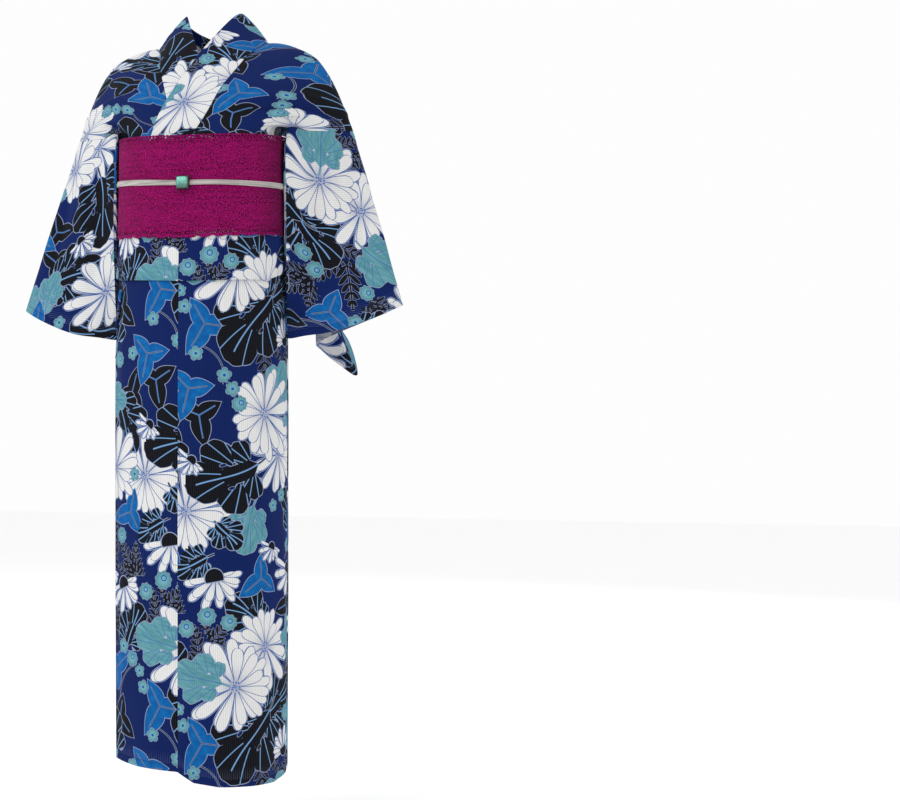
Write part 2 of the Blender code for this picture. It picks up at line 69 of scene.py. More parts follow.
def forward(operation):
    return lambda self, *others: self.maths(operation, *others)


def backward(operation):
    return lambda self, other: self.look.node("ShaderNodeMath", {"operation": operation}, {0: other, 1: self})


for method, operation in {
    "__add__": "ADD", "__radd__": "ADD", "__sub__": "SUBTRACT", "__mul__": "MULTIPLY",
    "__rmul__": "MULTIPLY", "__truediv__": "DIVIDE", "__pow__": "POWER", "__abs__": "ABSOLUTE",
    "__gt__": "GREATER_THAN", "__lt__": "LESS_THAN", "least": "MINIMUM", "most": "MAXIMUM",
    "wave": "SINE", "part": "FRACT", "whole": "FLOOR", "root": "SQRT",
}.items():
    setattr(Value, method, forward(operation))
Value.__rsub__, Value.__rtruediv__ = backward("SUBTRACT"), backward("DIVIDE")
Value.__neg__ = lambda self: self.maths("MULTIPLY", -1.0)


class Look:
    # one material and the nodes it is made of
    def __init__(self, name, **sockets):
        self.material = bpy.data.materials.new(name)
        self.material.use_nodes = True
        self.tree = self.material.node_tree
        self.shader = self.tree.nodes["Principled BSDF"]
        for socket, value in sockets.items():
            self.shader.inputs[socket.replace("_", " ")].default_value = value

    def node(self, kind, settings=None, inputs=None, output=0):
        node = self.tree.nodes.new(kind)
        for name, setting in (settings or {}).items():
            setattr(node, name, setting)
        for name, value in (inputs or {}).items():
            if isinstance(value, Value):
                self.tree.links.new(value.socket, node.inputs[name])
            else:
                node.inputs[name].default_value = value
        return Value(self, node.outputs[output])

    def mix(self, under, over, share):
        # colours are three linear numbers, or come from other nodes
        under, over = ((*c, 1.0) if isinstance(c, tuple) else c for c in (under, over))
        return self.node("ShaderNodeMix", {"data_type": "RGBA"}, {0: share, 6: under, 7: over}, 2)

    def shaded(self, colour, by, share):
        # the colour multiplied by a grey
        by = by if isinstance(by, Value) else (by, by, by, 1.0)
        kind = {"data_type": "RGBA", "blend_type": "MULTIPLY"}
        return self.node("ShaderNodeMix", kind, {0: share, 6: colour, 7: by}, 2)

    def choose(self, first, second, share):
        return self.node("ShaderNodeMix", {"data_type": "FLOAT"}, {0: share, 2: first, 3: second}, 0)

    def attribute(self, name):
        vector = self.node("ShaderNodeAttribute", {"attribute_name": name}, {}, "Vector")
        return self.apart(vector)

    def number(self, name):
        return self.node("ShaderNodeAttribute", {"attribute_name": name}, {}, "Fac")

    def apart(self, vector):
        split = self.tree.nodes.new("ShaderNodeSeparateXYZ")
        self.tree.links.new(vector.socket, split.inputs[0])
        return [Value(self, split.outputs[k]) for k in range(3)]

    def joined(self, x, y, z):
        return self.node("ShaderNodeCombineXYZ", {}, {0: x, 1: y, 2: z})

    def cloth(self):
        # the flat cloth's own coordinates in metres, across and along
        vector = self.node("ShaderNodeUVMap", {"uv_map": "cloth"})
        return self.apart(vector)[:2]

    def noise(self, vector, scale, detail=2.0):
        return self.node("ShaderNodeTexNoise", {}, {"Vector": vector, "Scale": scale, "Detail": detail})

    def dots(self, vector, scale, output="Distance"):
        return self.node("ShaderNodeTexVoronoi", {}, {"Vector": vector, "Scale": scale}, output)

    def chance(self, number):
        return self.node("ShaderNodeTexWhiteNoise", {"noise_dimensions": "1D"}, {"W": number}, "Value")

    def finish(self, **links):
        # Height is bump in metres; the others are the shader's sockets
        height = links.pop("Height", None)
        if height is not None:
            bump = self.node("ShaderNodeBump", {}, {"Height": height, "Distance": 1.0, "Strength": 1.0})
            self.tree.links.new(bump.socket, self.shader.inputs["Normal"])
        for name, value in links.items():
            self.tree.links.new(value.socket, self.shader.inputs[name.replace("_", " ")])
        return self.material


def rgb(red, green, blue):
    # screen colour, 0 to 255, as linear numbers
    shares = (red / 255, green / 255, blue / 255)
    return tuple(c / 12.92 if c <= 0.04045 else ((c + 0.055) / 1.055) ** 2.4 for c in shares)


# the print on the cotton

printing = {
    # the roll's repeat across and down
    "wide": 0.38,
    "long": 0.675,
    # how wide a line is for a motif of size 0.1, and how sharp its edge is
    "line": 0.0105,
    "sharp": 2.2,
    # a motif reaches this many of its sizes from its middle
    "reach": 1.35,
}
dyes = {
    "navy": rgb(11, 35, 96),
    "navyDeep": rgb(8, 27, 80),
    "black": rgb(17, 17, 19),
    "white": rgb(224, 224, 223),
    "petalShade": rgb(168, 174, 192),
    "petalLine": rgb(44, 88, 156),
    "pale": rgb(148, 160, 190),
    "leafLine": rgb(116, 160, 208),
    "teal": rgb(80, 140, 150),
    "tealLight": rgb(122, 174, 184),
    "tealLine": rgb(70, 112, 168),
    "royal": rgb(10, 103, 172),
    "royalDeep": rgb(8, 86, 154),
    "dot": rgb(28, 84, 168),
}


def petals(look, radius, bearing, count, turn, short, broad, seed):
    # one ring of petals: how far inside a petal, and how far from the line between two
    spread = (bearing * (count / tau) + turn).maths("WRAP", float(count), 0.0)
    which = spread.whole()
    aside = (spread - which - 0.5) * (tau / count)
    length = 1.0 - look.chance(which + seed * 31.0) * short
    across = abs(aside.wave()) * radius
    along = aside.maths("COSINE") * radius / length
    along = along.least(1.2)
    reach = along.least(0.999)
    wide = reach ** 0.85 * (1.0 - reach ** 6.0).root() * broad
    inside = (wide - across).least(1.0 - along)
    between = (pi / count - abs(aside)) * radius
    return inside, between


def mum(look, ground, x, y, seed, fine, side):
    # an open flower, or one seen from the side with its petals hanging
    bearing = y.maths("ARCTAN2", x)
    radius = (x * x + y * y).root() / (1.0 - bearing.maths("COSINE") * 0.15)
    behind, partBehind = petals(look, radius, bearing, 12, 0.5, 0.16, 0.16, seed)
    front, partFront = petals(look, radius, bearing, 11, 0.1, 0.34, 0.168, seed + 7.0)
    cut = side * (y * 4.0 - 0.3).most(0.0)
    outer = behind.most(front) - cut
    soft = printing["sharp"] / fine
    ground = look.mix(ground, dyes["pale"], (outer + fine * 1.5).mask(soft))
    ground = look.mix(ground, dyes["petalLine"], (outer + fine * 0.6).mask(soft))
    near = (radius * -2.2 + 1.15).held()
    white = look.mix(dyes["white"], dyes["petalShade"], near * near)
    ground = look.mix(ground, white, (behind.least(partBehind) - cut - fine * 0.5).mask(soft))
    ground = look.mix(ground, dyes["petalLine"], (front - cut + fine * 0.55).mask(soft))
    ground = look.mix(ground, white, (front.least(partFront) - cut - fine * 0.5).mask(soft))
    spot = look.dots(look.joined(x, y, seed), 26.0)
    heart = look.mix(dyes["petalShade"], dyes["dot"], (0.42 - spot).mask(5.0))
    ground = look.mix(ground, heart, (0.125 - radius).mask(soft) * (1.0 - side))
    cup = ((0.3 - radius).least(y + 0.12)) * side
    ground = look.mix(ground, dyes["pale"], (cup + fine - (1.0 - side)).mask(soft))
    return look.mix(ground, dyes["black"], (cup - (1.0 - side) * 0.5 - 0.01).mask(soft))


lobes = (
    # centre across and up, size, root across and up
    (0.00, 0.44, 0.5, 0.00, -0.22),
    (0.5, 0.02, 0.38, 0.06, -0.36),
    (0.42, -0.5, 0.27, 0.04, -0.66),
)


def lobedLeaf(look, ground, x, y, seed, fine, teal):
    # a leaf of five round lobes with fans of veins, black or teal
    x = x + (y * 2.4 + seed).wave() * 0.07
    aside = abs(x)
    inside = veins = None
    for across, up, size, rootAcross, rootUp in lobes:
        dx, dy = aside - across, y - up
        reach = (dx * dx + dy * dy).root()
        ex, ey = aside - rootAcross, y - rootUp
        away = (ex * ex + ey * ey).root()
        fan = abs((ey.maths("ARCTAN2", ex) * (17.0 / tau)).part() - 0.5)
        vein = fan * (tau / 17.0) * away + (0.16 - away).most(0.0)
        edge = size - reach - (0.5 - fan) * 0.07
        if inside is None:
            inside, veins = edge, vein
        else:
            veins = look.choose(veins, vein, edge > inside)
            inside = inside.most(edge)
    eyeAcross, eyeUp = (aside - 0.27) * 2.2, y + 0.02
    eye = 0.085 - (eyeAcross * eyeAcross + eyeUp * eyeUp).root()
    inside = inside.least(teal * 9.0 - eye)
    middle = 0.2 - abs(x) - (abs(y + 0.18) - 0.42).most(0.0)
    veins = look.choose(veins, abs(x) + 0.01, middle > inside)
    inside = inside.most(middle)
    rib = abs(x) + (abs(y + 0.12) - 0.8).most(0.0)
    soft = printing["sharp"] / fine
    stalk = fine * 1.1 - (abs(x) + (abs(y + 0.78) - 0.3).most(0.0))
    ground = look.mix(ground, dyes["pale"], (inside.most(stalk) + fine * 0.9).mask(soft))
    streak = look.noise(look.joined(x * 9.0, y * 1.6, seed), 1.0, 1.0)
    green = look.mix(dyes["teal"], dyes["tealLight"], ((streak - 0.36) * 1.8).held())
    body = look.mix(dyes["black"], green, teal)
    ground = look.mix(ground, body, (inside.most(stalk) - fine * 0.1).mask(soft))
    line = look.mix(dyes["leafLine"], dyes["tealLine"], teal)
    thin = fine * (0.8 - teal * 0.22)
    lines = (thin - veins.least(rib * 0.7)).mask(soft) * inside.mask(soft)
    return look.mix(ground, line, lines * (1.0 - teal * 0.1))


def pointedLeaf(look, ground, x, y, seed, fine, blue):
    # three pointed blades from one place, black or blue
    x = x + (y * 1.8 + seed).wave() * 0.06
    aside = abs(x)
    inside = rib = None
    for turn, length, broad in ((0.0, 1.0, 0.84), (116.0, 0.8, 0.74)):
        s, c = sin(radians(turn)), cos(radians(turn))
        along = aside * s + y * c + 0.03
        across = abs(aside * c - y * s)
        q = (along / length).held()
        blade = q ** 0.55 * (1.0 - q) ** 1.05 * broad
        edge = (blade - across).least(along).least(length - along)
        line = across + (along - length * 0.72).most(0.0)
        if inside is None:
            inside, rib = edge, line
        else:
            rib = look.choose(rib, line, edge > inside)
            inside = inside.most(edge)
    soft = printing["sharp"] / fine
    ground = look.mix(ground, dyes["pale"], (inside + fine * 0.9).mask(soft))
    streak = look.noise(look.joined(x * 5.0, y * 5.0, seed), 1.0, 1.0)
    body = look.mix(dyes["royalDeep"], dyes["royal"], ((streak - 0.35) * 3.0).held())
    body = look.mix(dyes["black"], body, blue)
    ground = look.mix(ground, body, (inside - fine * 0.1).mask(soft))
    vein = look.mix(dyes["leafLine"], dyes["pale"], blue)
    ground = look.mix(ground, vein, (fine - rib).mask(soft) * inside.mask(soft))
    groove = look.mix(dyes["dot"], dyes["black"], blue)
    return look.mix(ground, groove, (fine * 0.5 - rib).mask(soft) * inside.mask(soft))


def sprig(look, ground, x, y, seed, fine, arc):
    # a small branch of narrow leaves, or a thin curved stem
    x = x + (y * 1.6 + seed).wave() * 0.05
    inside = None
    for turn, length in ((0.0, 1.75), (38.0, 1.25)):
        s, c = sin(radians(turn)), cos(radians(turn))
        aside = abs(x)
        along = aside * s + (y + 0.9) * c
        across = abs(aside * c - (y + 0.9) * s)
        beat = abs(((along - across * 0.95) * 4.3).part() - 0.5) / 4.3
        reach = ((1.0 - along / length).most(0.0) ** 0.6) * 0.46 + 0.02
        share = (across / reach).held()
        leaf = (share * (1.0 - share) * 0.3 + 0.008 - beat).least(reach - across)
        one = leaf.most(0.022 - across).least(along).least(length - along)
        inside = one if inside is None else inside.most(one)
    bow = (x * x + (y + 0.75) * (y + 0.75)).root()
    stem = (fine * 0.9 - abs(bow - 1.1)).least(y - 0.05)
    inside = look.choose(inside, stem, arc)
    soft = printing["sharp"] / fine
    ground = look.mix(ground, dyes["pale"], (inside + fine * 0.5).mask(soft))
    return look.mix(ground, dyes["black"], (inside - fine * 0.1).mask(soft))


def blossom(look, ground, x, y, seed, fine, bud):
    # a small flower of five petals, or a fluffy round bud with a ring
    bearing = y.maths("ARCTAN2", x)
    radius = (x * x + y * y).root()
    five = abs((bearing * 2.5 + seed).maths("COSINE")) ** 0.6 * 0.34 + 0.6
    nine = (bearing * 9.0 + seed).maths("COSINE") * 0.06 + 0.88
    inside = look.choose(five, nine, bud) - radius
    soft = printing["sharp"] / fine
    ground = look.mix(ground, dyes["pale"], (inside + fine * 0.8).mask(soft))
    body = look.mix(dyes["tealLight"], dyes["teal"], (radius * 1.4 - 0.2).held())
    ground = look.mix(ground, body, inside.mask(soft))
    off = y - bud * 0.22
    spot = (x * x + off * off).root()
    ring = look.choose(0.2 - spot, 0.055 - abs(spot - 0.27), bud)
    return look.mix(ground, dyes["dot"], ring.mask(soft))


# each layer's ways of drawing: from this number, to this one, and past which its switch is on
drawn = {
    "under": ((sprig, 0.5, 2.5, 1.5),),
    "low": ((pointedLeaf, 0.5, 2.5, 1.5), (lobedLeaf, 2.5, 4.5, 3.5)),
    "back": ((mum, 0.5, 2.5, 1.5),),
    "middle": ((pointedLeaf, 0.5, 2.5, 1.5), (lobedLeaf, 2.5, 4.5, 3.5)),
    "front": ((mum, 0.5, 2.5, 1.5),),
    "top": ((blossom, 0.5, 2.5, 1.5), (lobedLeaf, 2.5, 4.5, 3.5)),
}


def printed(look, worn):
    # every layer of the print, from the ground up; worn is how far it is faded towards the reverse
    ground = look.mix(dyes["navyDeep"], dyes["navy"], worn)
    for layer, ways in drawn.items():
        x, y, tag = look.attribute(layer)
        kind = tag.whole()
        size = tag - kind
        seed = (size * 997.0).whole().maths("WRAP", 13.0, 0.0)
        fine = printing["line"] / size
        for way, low, high, switch in ways:
            there = (kind > low) * (kind < high)
            hidden = (1.0 - there) * 40.0
            ground = way(look, ground, x + hidden, y, seed, fine, kind > switch)
    return ground


# the printed roll that every panel is cut from: across, down, turn and size of each motif, in
# centimetres and degrees; turn 0 points up the roll, and clockwise counts up
roll = {
    # 1 a branch of narrow leaves, 2 a curved stem
    "under": (
        (1, 14.6, 65.4, 180, 6.2), (1, 3.6, 45.2, -12, 4.8), (1, 7.2, 42.6, 40, 4.2),
        (1, 26.4, 50.6, 95, 6.6), (1, 21.6, 49.4, 30, 4.8), (1, 34.4, 46.6, 60, 4.6),
        (1, 30.4, 33.4, 20, 5.6), (1, 23.8, 0.8, 200, 5.4), (2, 5.4, 66.9, 60, 4.6),
        (2, 21.6, 26.8, 100, 5.2), (2, 35.4, 57.8, -60, 5.6), (1, 27.6, 59.6, 150, 4.6),
        (1, 35.0, 36.2, -40, 4.4),
    ),
    # 1 black pointed leaf, 2 blue, 3 black lobed leaf, 4 teal
    "low": (
        (1, 3.9, 7.4, 175, 5.4), (4, 18.6, 2.6, 40, 5.0), (4, 11.8, 25.6, 200, 4.7),
        (1, 36.0, 9.6, 20, 5.0), (1, 21.8, 38.6, 140, 5.0), (4, 28.4, 8.4, -100, 4.6),
        (1, 33.0, 62.8, 130, 5.2), (3, 19.4, 54.4, 70, 6.0), (2, 4.4, 60.2, 215, 6.0),
        (3, 12.0, 39.6, 300, 4.8), (3, 36.6, 47.8, 20, 4.6), (2, 31.6, 54.6, 60, 5.4),
    ),
    # 1 open flower, 2 from the side
    "back": (
        (1, 18.7, 14.0, 10, 6.6), (1, 1.4, 23.0, 120, 7.2), (1, 15.4, 45.0, -70, 7.4),
        (2, 34.2, 41.0, -20, 4.6), (2, 22.8, 33.2, 25, 4.6),
    ),
    "middle": (
        (3, 8.0, 17.2, -112, 7.4), (3, 12.6, 60.4, 215, 8.0), (2, 2.0, 3.2, 200, 5.6),
        (2, 14.6, 34.2, 240, 5.2), (3, 2.4, 31.4, 250, 3.8), (3, 25.2, 22.6, 15, 6.2),
        (3, 34.0, 15.0, 160, 6.6), (2, 36.0, 29.4, -100, 5.4), (4, 24.6, 43.6, 45, 5.4),
        (3, 28.6, 65.6, -30, 6.4), (2, 24.4, 9.6, 80, 5.2), (3, 8.2, 26.6, 140, 3.4),
    ),
    "front": (
        (1, 14.8, 7.2, -160, 7.8), (1, 9.8, 51.2, 25, 8.0), (2, 6.4, 33.6, -10, 5.2),
        (1, 31.4, 22.0, 100, 7.0), (2, 2.4, 14.8, 40, 2.8), (2, 17.0, 29.0, 20, 2.8),
        (2, 29.6, 39.2, 10, 3.6), (2, 21.0, 62.6, 160, 3.8),
    ),
    # 1 small flower, 2 bud, 4 teal lobed leaf
    "top": (
        (4, 3.8, 49.6, -70, 4.9), (1, 7.6, 1.0, 0, 1.3), (1, 9.0, 3.2, 20, 1.3),
        (2, 10.2, 5.6, 60, 1.4), (2, 1.6, 41.8, 0, 1.5), (2, 5.0, 39.8, 15, 1.6),
        (2, 8.6, 40.8, 40, 1.4), (1, 19.8, 20.6, 10, 1.2), (1, 17.2, 22.2, 0, 1.1),
        (1, 1.0, 57.4, 20, 1.2), (1, 3.0, 65.0, 0, 1.2), (1, 0.2, 54.8, 0, 1.1),
        (2, 21.8, 56.6, 0, 1.5), (2, 24.6, 55.4, 20, 1.5), (2, 29.4, 48.0, 0, 1.4),
        (2, 36.4, 53.0, 20, 1.4), (1, 34.0, 51.2, 0, 1.3), (1, 22.4, 29.0, 0, 1.2),
        (1, 27.8, 29.6, 30, 1.3), (2, 33.4, 33.0, 0, 1.4), (1, 37.0, 22.8, 0, 1.2),
        (1, 30.6, 1.8, 0, 1.3), (2, 32.6, 4.0, 50, 1.4), (1, 36.4, 3.0, 30, 1.2),
        (1, 21.2, 8.4, 0, 1.2), (1, 26.0, 14.6, 20, 1.2), (4, 31.6, 10.6, 100, 3.4),
    ),
}


def placePrint(mesh, shift, turned):
    # each corner gets, for every layer, its place inside the motif that covers its face
    count = len(mesh.loops)
    flat = np.zeros(count * 2)
    mesh.uv_layers["cloth"].data.foreach_get("uv", flat)
    flat = flat.reshape(-1, 2) * (-1.0 if turned else 1.0) + np.array(shift)
    starts = np.zeros(len(mesh.polygons), int)
    sizes = np.zeros(len(mesh.polygons), int)
    mesh.polygons.foreach_get("loop_start", starts)
    mesh.polygons.foreach_get("loop_total", sizes)
    faceOf = np.repeat(np.arange(len(starts)), sizes)
    middle = np.zeros((len(starts), 2))
    np.add.at(middle, faceOf, flat)
    middle /= sizes[:, None]
    repeat = np.array([printing["wide"], printing["long"]])
    for layer, motifs in roll.items():
        table = np.array(motifs, float)
        centres = table[:, 1:3] / 100
        away = middle[:, None] - centres[None]
        copies = np.round(away / repeat) * repeat
        away -= copies
        share = np.hypot(away[..., 0], away[..., 1]) / (table[:, 4] / 100)
        best = share.argmin(1)
        picked = np.arange(len(best))
        near = share[picked, best] < printing["reach"]
        at = (centres[best] + copies[picked, best])[faceOf]
        size = (table[best, 4] / 100)[faceOf]
        turn = np.radians(table[best, 3])[faceOf]
        across, up = flat[:, 0] - at[:, 0], at[:, 1] - flat[:, 1]
        c, s = np.cos(turn), np.sin(turn)
        local = np.stack([across * c - up * s, across * s + up * c], 1) / size[:, None]
        tag = table[best, 0][faceOf] + size * 10
        empty = ~near[faceOf]
        local[empty] = 9.0
        tag[empty] = 0.5
        values = np.column_stack([local, tag]).astype(np.float32)
        mesh.attributes.new(layer, "FLOAT_VECTOR", "CORNER").data.foreach_set("vector", values.ravel())


def cotton(name, reverse=0.0):
    # printed cotton with fine sheer ribs; the reverse is paler and greyer
    look = Look(name, Roughness=0.82, Sheen_Weight=0.01, Specular_IOR_Level=0.07)
    across, along = look.cloth()
    flat = look.joined(across, along, 0.0)
    tone = look.noise(flat, 9.0, 3.0)
    colour = printed(look, tone)
    rib = abs((across / 0.0034).part() - 0.5)
    beat = abs((along / 0.0026).part() - 0.5)
    gap = ((rib - 0.36) * 9.0).held() * (0.45 + beat * 1.1)
    colour = look.shaded(colour, 0.6, gap * 0.75)
    colour = look.mix(colour, rgb(92, 104, 150), gap * 0.14)
    thread = look.noise(look.joined(across, along * 5.0, 0.0), 420.0, 1.0)
    colour = look.shaded(colour, 0.86, (thread - 0.35).held())
    if reverse:
        colour = look.mix(colour, rgb(148, 150, 168), reverse)
    hem = look.number("hem")
    stitch = (0.00055 - abs(hem - 0.0115)).mask(4000.0)
    colour = look.shaded(colour, 0.62, stitch * (0.4 + beat))
    sheer = ((hem - 0.0115) * 900.0).held() * ((0.032 - hem) * 60.0).held()
    colour = look.mix(colour, rgb(120, 128, 160), sheer * gap * 0.5)
    height = (0.5 - rib) * 0.00016 + thread * 0.0001 - stitch * 0.0003
    return look.finish(Base_Color=colour, Height=height)


# the worn form, in metres: the wearer faces -Y and the wearer's left is +X

trunkAxis = -0.076
shouldersBack = 0.02
trunkRows = np.array([
    # height, half width, half depth
    (-0.1, 0.126, 0.106),
    (-0.16, 0.1275, 0.108),
    (-0.24, 0.128, 0.11),
    (-0.33, 0.13, 0.113),
    (-0.4, 0.136, 0.12),
    (-0.47, 0.1395, 0.125),
    (-0.6, 0.1405, 0.127),
    (-0.9, 0.14, 0.128),
    (-1.23, 0.1385, 0.127),
])
printLevel = -0.551  # the height at which the print on the fronts starts
beltTop = ((0, -0.174), (90, -0.166), (180, -0.158), (270, -0.164), (360, -0.174))
beltFoot = ((0, -0.337), (90, -0.326), (180, -0.322), (270, -0.327), (360, -0.337))
cordLevel = ((0, -0.2505), (90, -0.2495), (180, -0.238), (270, -0.2375), (360, -0.2505))
tuckFoot = (
    (0, -0.409), (60, -0.405), (90, -0.388), (180, -0.378), (270, -0.39), (300, -0.402), (360, -0.409),
)


def table(rows, at):
    rows = np.array(sorted(rows), float)
    return np.interp(at, rows[:, 0], rows[:, 1])


def level(rows, angle):
    return table(rows, np.mod(angle, 360.0))


def ring(angle, height, outside, share=1.0):
    # round the trunk: 0 in front, 90 at the wearer's left
    angle, height, outside, share = np.broadcast_arrays(angle, height, outside, share)
    heights = trunkRows[::-1, 0]
    halfWidth = np.interp(height, heights, trunkRows[::-1, 1])
    halfDepth = np.interp(height, heights, trunkRows[::-1, 2])
    turn = np.radians(angle)
    x = (halfWidth + outside) * np.sin(turn) * share
    y = trunkAxis - (halfDepth + outside) * np.cos(turn) * share
    return np.stack([x, y, height * np.ones_like(x)], -1)


def smooth(points, steps, closed=False):
    # a curve through the points, or through rows of points
    points = np.asarray(points, float)
    if closed:
        ends = np.concatenate([points[-1:], points, points[:2]])
    else:
        ends = np.concatenate([2 * points[:1] - points[1:2], points, 2 * points[-1:] - points[-2:-1]])
    a, b, c, d = ends[:-3], ends[1:-2], ends[2:-1], ends[3:]
    t = (np.arange(steps) / steps).reshape((1, -1) + (1,) * (points.ndim - 1))
    a, b, c, d = (p[:, None] for p in (a, b, c, d))
    bend, turn = 2 * a - 5 * b + 4 * c - d, 3 * b - a - 3 * c + d
    curve = 0.5 * (2 * b + (c - a) * t + bend * t * t + turn * t ** 3)
    curve = curve.reshape((-1,) + points.shape[1:])
    return curve if closed else np.concatenate([curve, points[-1:]])


def finer(grid, rowSteps, columnSteps, closed=False):
    grid = smooth(grid, rowSteps, closed)
    return smooth(grid.transpose(1, 0, 2), columnSteps).transpose(1, 0, 2)


def normalsOf(grid, closed):
    along = np.roll(grid, -1, 0) - np.roll(grid, 1, 0) if closed else np.gradient(grid, axis=0)
    normal = np.cross(along, np.gradient(grid, axis=1))
    return normal / np.maximum(np.linalg.norm(normal, axis=2, keepdims=True), 1e-9)


def lengthsAlong(grid, axis, closed=False):
    # distance travelled along the rows or columns of a grid
    if closed:
        grid = np.concatenate([grid, grid[:1]])
    step = np.linalg.norm(np.diff(grid, axis=axis), axis=2)
    total = np.cumsum(step, axis=axis)
    start = np.zeros_like(total[:1]) if axis == 0 else np.zeros_like(total[:, :1])
    return np.concatenate([start, total], axis=axis)


def folded(across, along, folds):
    # how far soft ridges and troughs stand out: each runs from one place on the cloth to another
    out = np.zeros_like(across)
    for x0, y0, x1, y1, wide, high in folds:
        dx, dy = x1 - x0, y1 - y0
        long = np.hypot(dx, dy)
        t = ((across - x0) * dx + (along - y0) * dy) / long ** 2
        away = np.abs((across - x0) * dy - (along - y0) * dx) / long
        fade = np.clip(1.0 - np.maximum(np.abs(t - 0.5) - 0.5, 0.0) * long / (wide * 2.2), 0.0, 1.0)
        body = np.clip(np.sin(np.clip(t, 0.0, 1.0) * pi), 0.0, 1.0) ** 0.5
        out += high * np.exp(-((away / wide) ** 2)) * fade * (0.35 + 0.65 * body)
    return out


def rumple(across, along, high, seed):
    # the small unevenness of hanging cloth
    out = 0.0
    for k, (fx, fy) in enumerate(((7.3, 3.1), (13.7, 5.9), (23.9, 9.7), (31.3, 17.1))):
        wave = np.sin(across * fx * 2.1 + seed * 1.7 + k)
        out = out + wave * np.sin(along * fy * 2.3 + seed * 0.9 + k * 2.0) / (k + 1.2)
    return out * high


def applied(piece, kind, **settings):
    # one modifier, applied to the piece that is selected
    step = piece.modifiers.new(kind.lower(), kind)
    for name, value in settings.items():
        setattr(step, name, value)
    bpy.ops.object.modifier_apply(modifier=step.name)


def sheetMesh(name, grid, across, along, wall, looks, closed=False, marks=None, flip=False, edge=0.0):
    # a thin wall round a grid of points, with the flat cloth's coordinates as its UV map
    rows, columns = grid.shape[:2]
    vertices = grid.reshape(-1, 3)
    count = rows if closed else rows - 1
    i, j = np.meshgrid(np.arange(count), np.arange(columns - 1), indexing="ij")
    n = (i + 1) % rows
    corners = np.stack([i * columns + j, n * columns + j, n * columns + j + 1, i * columns + j + 1], -1)
    places = np.stack([
        np.stack([across[i, j], along[i, j]], -1),
        np.stack([across[i + 1, j], along[i + 1, j]], -1),
        np.stack([across[i + 1, j + 1], along[i + 1, j + 1]], -1),
        np.stack([across[i, j + 1], along[i, j + 1]], -1),
    ], -2)
    if flip:
        corners, places = corners[..., ::-1], places[..., ::-1, :]
    mesh = bpy.data.meshes.new(name)
    mesh.from_pydata(vertices.tolist(), [], corners.reshape(-1, 4).tolist())
    uv = mesh.uv_layers.new(name="cloth")
    uv.data.foreach_set("uv", places.reshape(-1))
    for mark, values in (marks or {"hem": np.full(len(vertices), 1.0)}).items():
        values = np.asarray(values, float).reshape(-1)
        mesh.attributes.new(mark, "FLOAT", "POINT").data.foreach_set("value", values)
    for look in looks:
        mesh.materials.append(look)
    piece = bpy.data.objects.new(name, mesh)
    bpy.context.scene.collection.objects.link(piece)
    bpy.ops.object.select_all(action="DESELECT")
    piece.select_set(True)
    bpy.context.view_layer.objects.active = piece
    applied(piece, "SOLIDIFY", thickness=wall, offset=0.0, use_even_offset=False,
            material_offset=len(looks) - 1)
    if edge:
        applied(piece, "BEVEL", width=edge, segments=3, limit_method="ANGLE", angle_limit=radians(50.0))
    bpy.ops.object.shade_smooth_by_angle(angle=radians(50.0))
    return piece


def placed(piece, nodes):
    # the finished piece rides on the body in its CAD node's place
    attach(piece, "root")
    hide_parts(*nodes)
    return piece


# skirt: one long wrap of six panels; its unrolled angle falls from the hidden inner edge to the
# free outer edge

